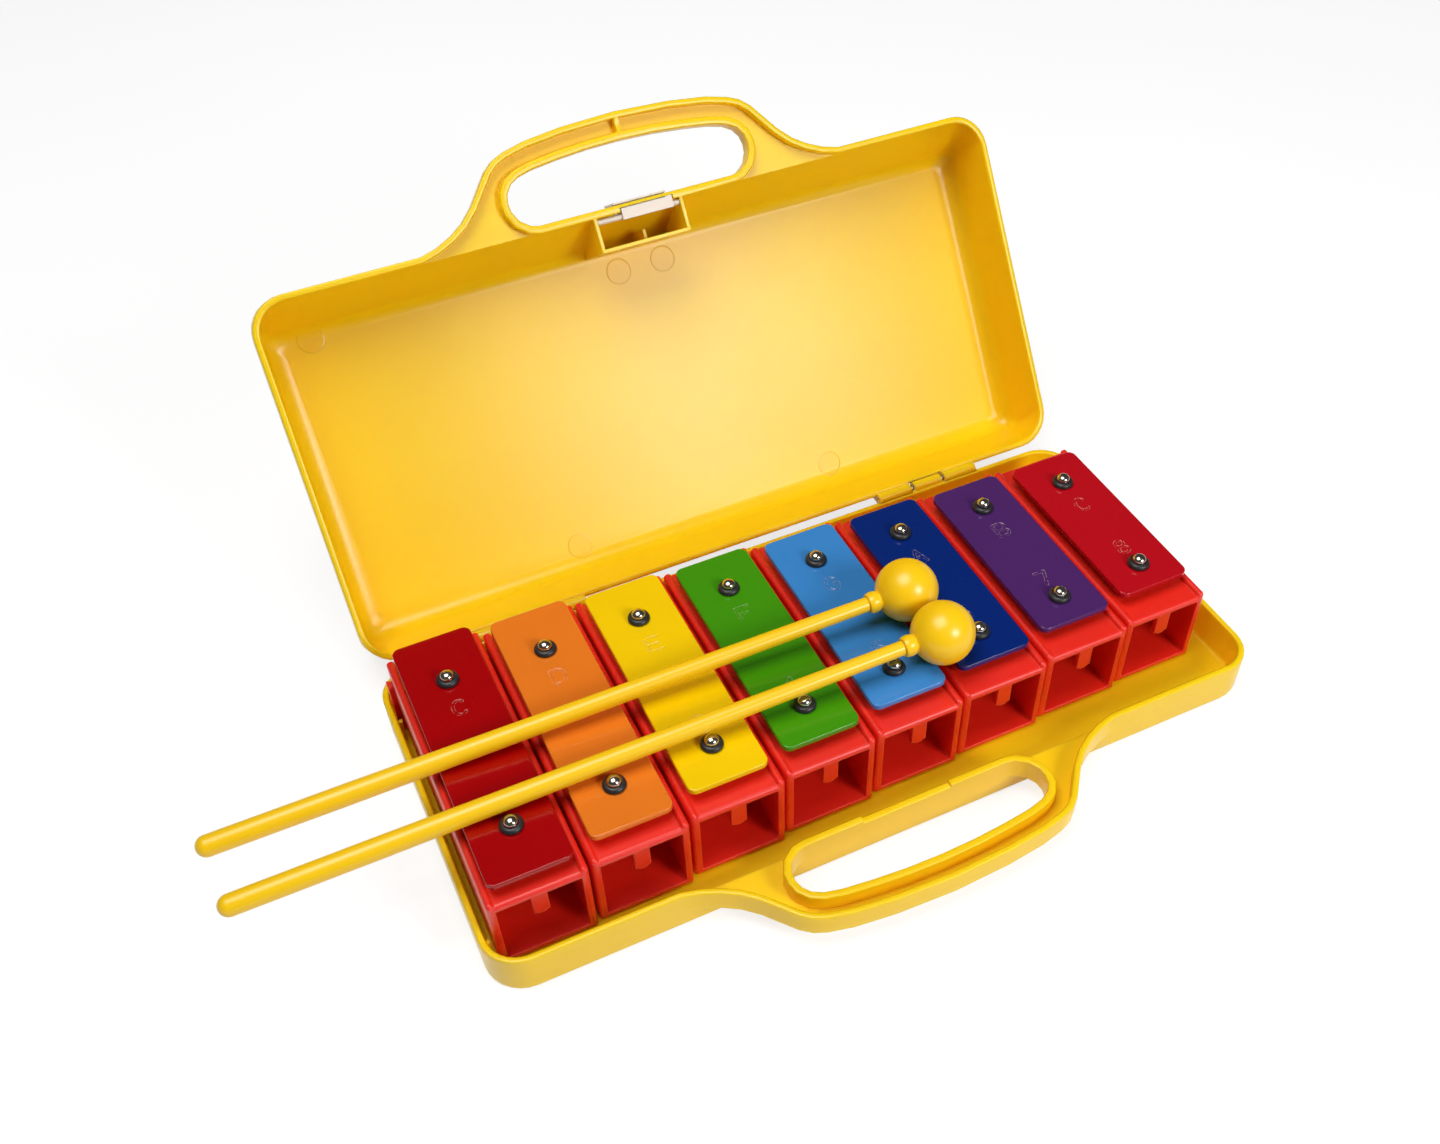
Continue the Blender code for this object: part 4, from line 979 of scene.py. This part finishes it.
class BELLS_OT_case(bpy.types.Operator):
    """Finishes the case, with the round ejector marks in its lid"""

    bl_idname = "bells.case"
    bl_label = "Case"

    def execute(self, context):
        case = context.scene.bells_case
        for node in ("case_base", "case_lid"):
            cover(node, plastic(
                f"{node}_plastic", tuple(case.plastic), tuple(case.edge), case.roughness,
                case.edge_radius, drift=0.05, scuffs=0.35, Subsurface_Weight=0.5,
                Subsurface_Radius=(1.0, 0.80, 0.10), Subsurface_Scale=0.005,
                Specular_IOR_Level=0.40,
            ))
        self.ejector_marks(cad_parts["case_lid"], case.mark_radius)
        return {"FINISHED"}

    def ejector_marks(self, lid, radius):
        """Chains one mark after another into the colour and bump of the lid's finish."""
        tree = lid.data.materials[0].node_tree
        bump = next(node for node in tree.nodes if node.type == "BUMP")
        tint = tree.nodes["Principled BSDF"].inputs["Base Color"]
        height = bump.inputs["Height"].links[0].from_socket
        colour_out = tint.links[0].from_socket
        to_lid = lid.matrix_world.inverted()
        facing = to_lid.to_3x3() @ PANEL_RISE.cross(Vector((1.0, 0.0, 0.0)))
        for across, along in EJECTOR_MARKS:
            node = tree.nodes.new("ShaderNodeGroup")
            node.node_tree = ring_group()
            node.inputs["Centre"].default_value = to_lid @ (MM * on_panel(across, along))
            node.inputs["Facing"].default_value = facing
            node.inputs["Radius"].default_value = radius * MM
            tree.links.new(height, node.inputs["Height"])
            tree.links.new(colour_out, node.inputs["Colour"])
            height, colour_out = node.outputs["Height"], node.outputs["Colour"]
        tree.links.new(height, bump.inputs["Height"])
        tree.links.new(colour_out, tint)


class BELLS_OT_fittings(bpy.types.Operator):
    """Finishes the milky latch and the steel hinge wires"""

    bl_idname = "bells.fittings"
    bl_label = "Latch and Hinge Wires"

    def execute(self, context):
        case = context.scene.bells_case
        # The latch's edge colour is a painted highlight: a paler cream along its rounded edges.
        cover("latch", plastic(
            "latch_milky", tuple(case.latch), (0.92, 0.88, 0.78), roughness=0.38, radius=0.35,
            drift=0.04, Subsurface_Weight=0.35, Subsurface_Radius=(1.0, 0.9, 0.8),
            Subsurface_Scale=0.002,
        ))
        wire = material("hinge_wire", plated_group(), {
            "Colour": tuple(case.wire), "Roughness": 0.3,
        }, depth=0.000006, Metallic=1.0)
        for side in ("left", "right"):
            cover(f"hinge_pin_{side}", wire)
        return {"FINISHED"}


class BELLS_OT_resonators(bpy.types.Operator):
    """Finishes the eight red resonator boxes"""

    bl_idname = "bells.resonators"
    bl_label = "Resonators"

    def execute(self, context):
        bells = context.scene.bells_bell
        finish = plastic(
            "resonator_red", tuple(bells.resonator), tuple(bells.resonator_edge_highlight),
            roughness=0.33, radius=0.7, drift=0.08, scuffs=0.25, Subsurface_Weight=0.5,
            Subsurface_Radius=(1.0, 0.12, 0.05), Subsurface_Scale=0.004,
            Coat_Weight=0.35, Coat_Roughness=0.62,
        )
        for note in NOTES:
            cover(f"block_{note}", finish)
        return {"FINISHED"}


# Softboxes: width, place and the point that each faces, in metres
OVERHEAD_BOX = (0.75, (-0.25, 0.02, 1.25), (0.0, 0.0, 0.03))
FRONT_BOX = (0.30, (0.36, -0.80, 0.62), (0.0, 0.05, 0.05))

# Floor: how far it lies under the case, how it looks where it is seen, and what lights the case
FLOOR_DROP = 0.0002
FLOOR_GLOW, FLOOR_SHADE, FLOOR_BOUNCE = 0.78, (0.29, 0.31), (0.8, 0.8, 0.8, 1.0)

# Surroundings: colour, and brightness from the horizon up to this height
ROOM_COLOUR = (0.98, 0.99, 1.0, 1.0)
ROOM_HEIGHT, ROOM_SHADE = 0.9, (1.25, 0.75)


class BELLS_OT_stage(bpy.types.Operator):
    """Sets the floor, the softboxes, the surroundings and the camera"""

    bl_idname = "bells.stage"
    bl_label = "Stage"

    def execute(self, context):
        studio = context.scene.bells_studio
        self.floor(studio)
        self.lamp("overhead", studio.overhead, *OVERHEAD_BOX)
        self.lamp("front", studio.front, *FRONT_BOX)
        self.surroundings(studio)
        self.camera()
        context.scene.view_settings.view_transform = "Standard"
        return {"FINISHED"}

    def floor(self, studio):
        """A wide floor just under the case, white where it is seen, mirrored or shone through."""
        half = studio.floor / 2
        along = np.linspace(-half, half, 9)
        x, y = np.meshgrid(along, along, indexing="ij")
        grid = np.stack([x, y, np.full(x.shape, CAD_BOX[0][2] - FLOOR_DROP)], axis=-1)
        floor = skin("studio_floor", grid, wrap_columns=False)
        mat = bpy.data.materials.new("floor_white")
        mat.use_nodes = True
        tree = mat.node_tree
        tree.nodes.remove(tree.nodes["Principled BSDF"])
        path = put(tree, "ShaderNodeLightPath").outputs
        seen = sums(tree, "MAXIMUM", path["Is Camera Ray"], path["Is Glossy Ray"])
        seen = sums(tree, "MAXIMUM", seen, path["Is Transmission Ray"])
        mottle = spread(tree, noise(tree, object_place(tree), 3.0), 0.3, 0.7, *FLOOR_SHADE)
        shade = put(tree, "ShaderNodeBsdfDiffuse", {"Color": mottle})
        glow = put(tree, "ShaderNodeEmission", {"Color": (1, 1, 1, 1), "Strength": FLOOR_GLOW})
        bright = put(tree, "ShaderNodeAddShader", {0: shade.outputs[0], 1: glow.outputs[0]})
        plain = put(tree, "ShaderNodeBsdfDiffuse", {"Color": FLOOR_BOUNCE})
        both = put(tree, "ShaderNodeMixShader", {
            "Fac": seen, 1: plain.outputs[0], 2: bright.outputs[0],
        })
        tree.links.new(both.outputs[0], tree.nodes["Material Output"].inputs["Surface"])
        floor.data.materials.append(mat)

    def lamp(self, name, radiance, width, place, target):
        """A square softbox. Its power is pi times its radiance times its area."""
        light = bpy.data.lights.new(name, "AREA")
        light.shape = "SQUARE"
        light.size = width
        light.energy = math.pi * radiance * width ** 2
        obj = bpy.data.objects.new(name, light)
        obj.location = place
        toward = Vector(target) - Vector(place)
        obj.rotation_euler = toward.to_track_quat("-Z", "Y").to_euler()
        bpy.context.scene.collection.objects.link(obj)

    def surroundings(self, studio):
        """A pale room, brighter towards the horizon than overhead."""
        world = bpy.data.worlds.new("studio_room")
        world.use_nodes = True
        tree = world.node_tree
        back = tree.nodes["Background"]
        place = put(tree, "ShaderNodeTexCoord").outputs["Generated"]
        height = put(tree, "ShaderNodeSeparateXYZ", {0: place}).outputs["Z"]
        shade = spread(tree, height, 0.0, ROOM_HEIGHT, *ROOM_SHADE)
        tint = blend_colour(tree, "MULTIPLY", 1.0, ROOM_COLOUR, shade)
        tree.links.new(tint, back.inputs["Color"])
        back.inputs["Strength"].default_value = studio.world
        bpy.context.scene.world = world

    def camera(self):
        """The picture's own camera: a pinhole with its principal point off the middle."""
        data = bpy.data.cameras.new("picture_camera")
        data.sensor_fit = "HORIZONTAL"
        data.sensor_width = SENSOR_WIDTH
        wide, high = IMAGE_PIXELS
        data.lens = FOCAL_PIXELS * SENSOR_WIDTH / wide
        data.shift_x = -(PRINCIPAL_PIXEL[0] - wide / 2) / wide
        data.shift_y = (PRINCIPAL_PIXEL[1] - high / 2) / wide
        data.clip_start = 0.01
        camera = bpy.data.objects.new("picture_camera", data)
        right, down = Vector(CAMERA_RIGHT), Vector(CAMERA_DOWN)
        turn = Matrix((right, -down, right.cross(-down))).transposed()
        camera.matrix_world = Matrix.Translation(EYE) @ turn.to_4x4()
        bpy.context.scene.collection.objects.link(camera)
        bpy.context.scene.camera = camera


class BELLS_PT_panel(bpy.types.Panel):
    """Lists the steps that dress the bells"""

    bl_label = "Resonator Bells"
    bl_idname = "BELLS_PT_panel"
    bl_space_type = "VIEW_3D"
    bl_region_type = "UI"
    bl_category = "Bells"

    def draw(self, context):
        column = self.layout.column()
        for operator in OPERATORS:
            column.operator(operator.bl_idname)
        for name, group in GROUPS.items():
            box = self.layout.box()
            for key in group.__annotations__:
                box.prop(getattr(context.scene, name), key)


OPERATORS = (
    BELLS_OT_case, BELLS_OT_fittings, BELLS_OT_resonators, BELLS_OT_bars, BELLS_OT_screws,
    BELLS_OT_mallets, BELLS_OT_stage,
)
CLASSES = (*GROUPS.values(), *OPERATORS, BELLS_PT_panel)


def register():
    for cls in CLASSES:
        bpy.utils.register_class(cls)
    for name, group in GROUPS.items():
        setattr(bpy.types.Scene, name, PointerProperty(type=group))


def unregister():
    for name in GROUPS:
        delattr(bpy.types.Scene, name)
    for cls in reversed(CLASSES):
        bpy.utils.unregister_class(cls)


def main():
    register()
    for operator in OPERATORS:
        family, step = operator.bl_idname.split(".")
        getattr(getattr(bpy.ops, family), step)()


if __name__ == "__main__":
    main()
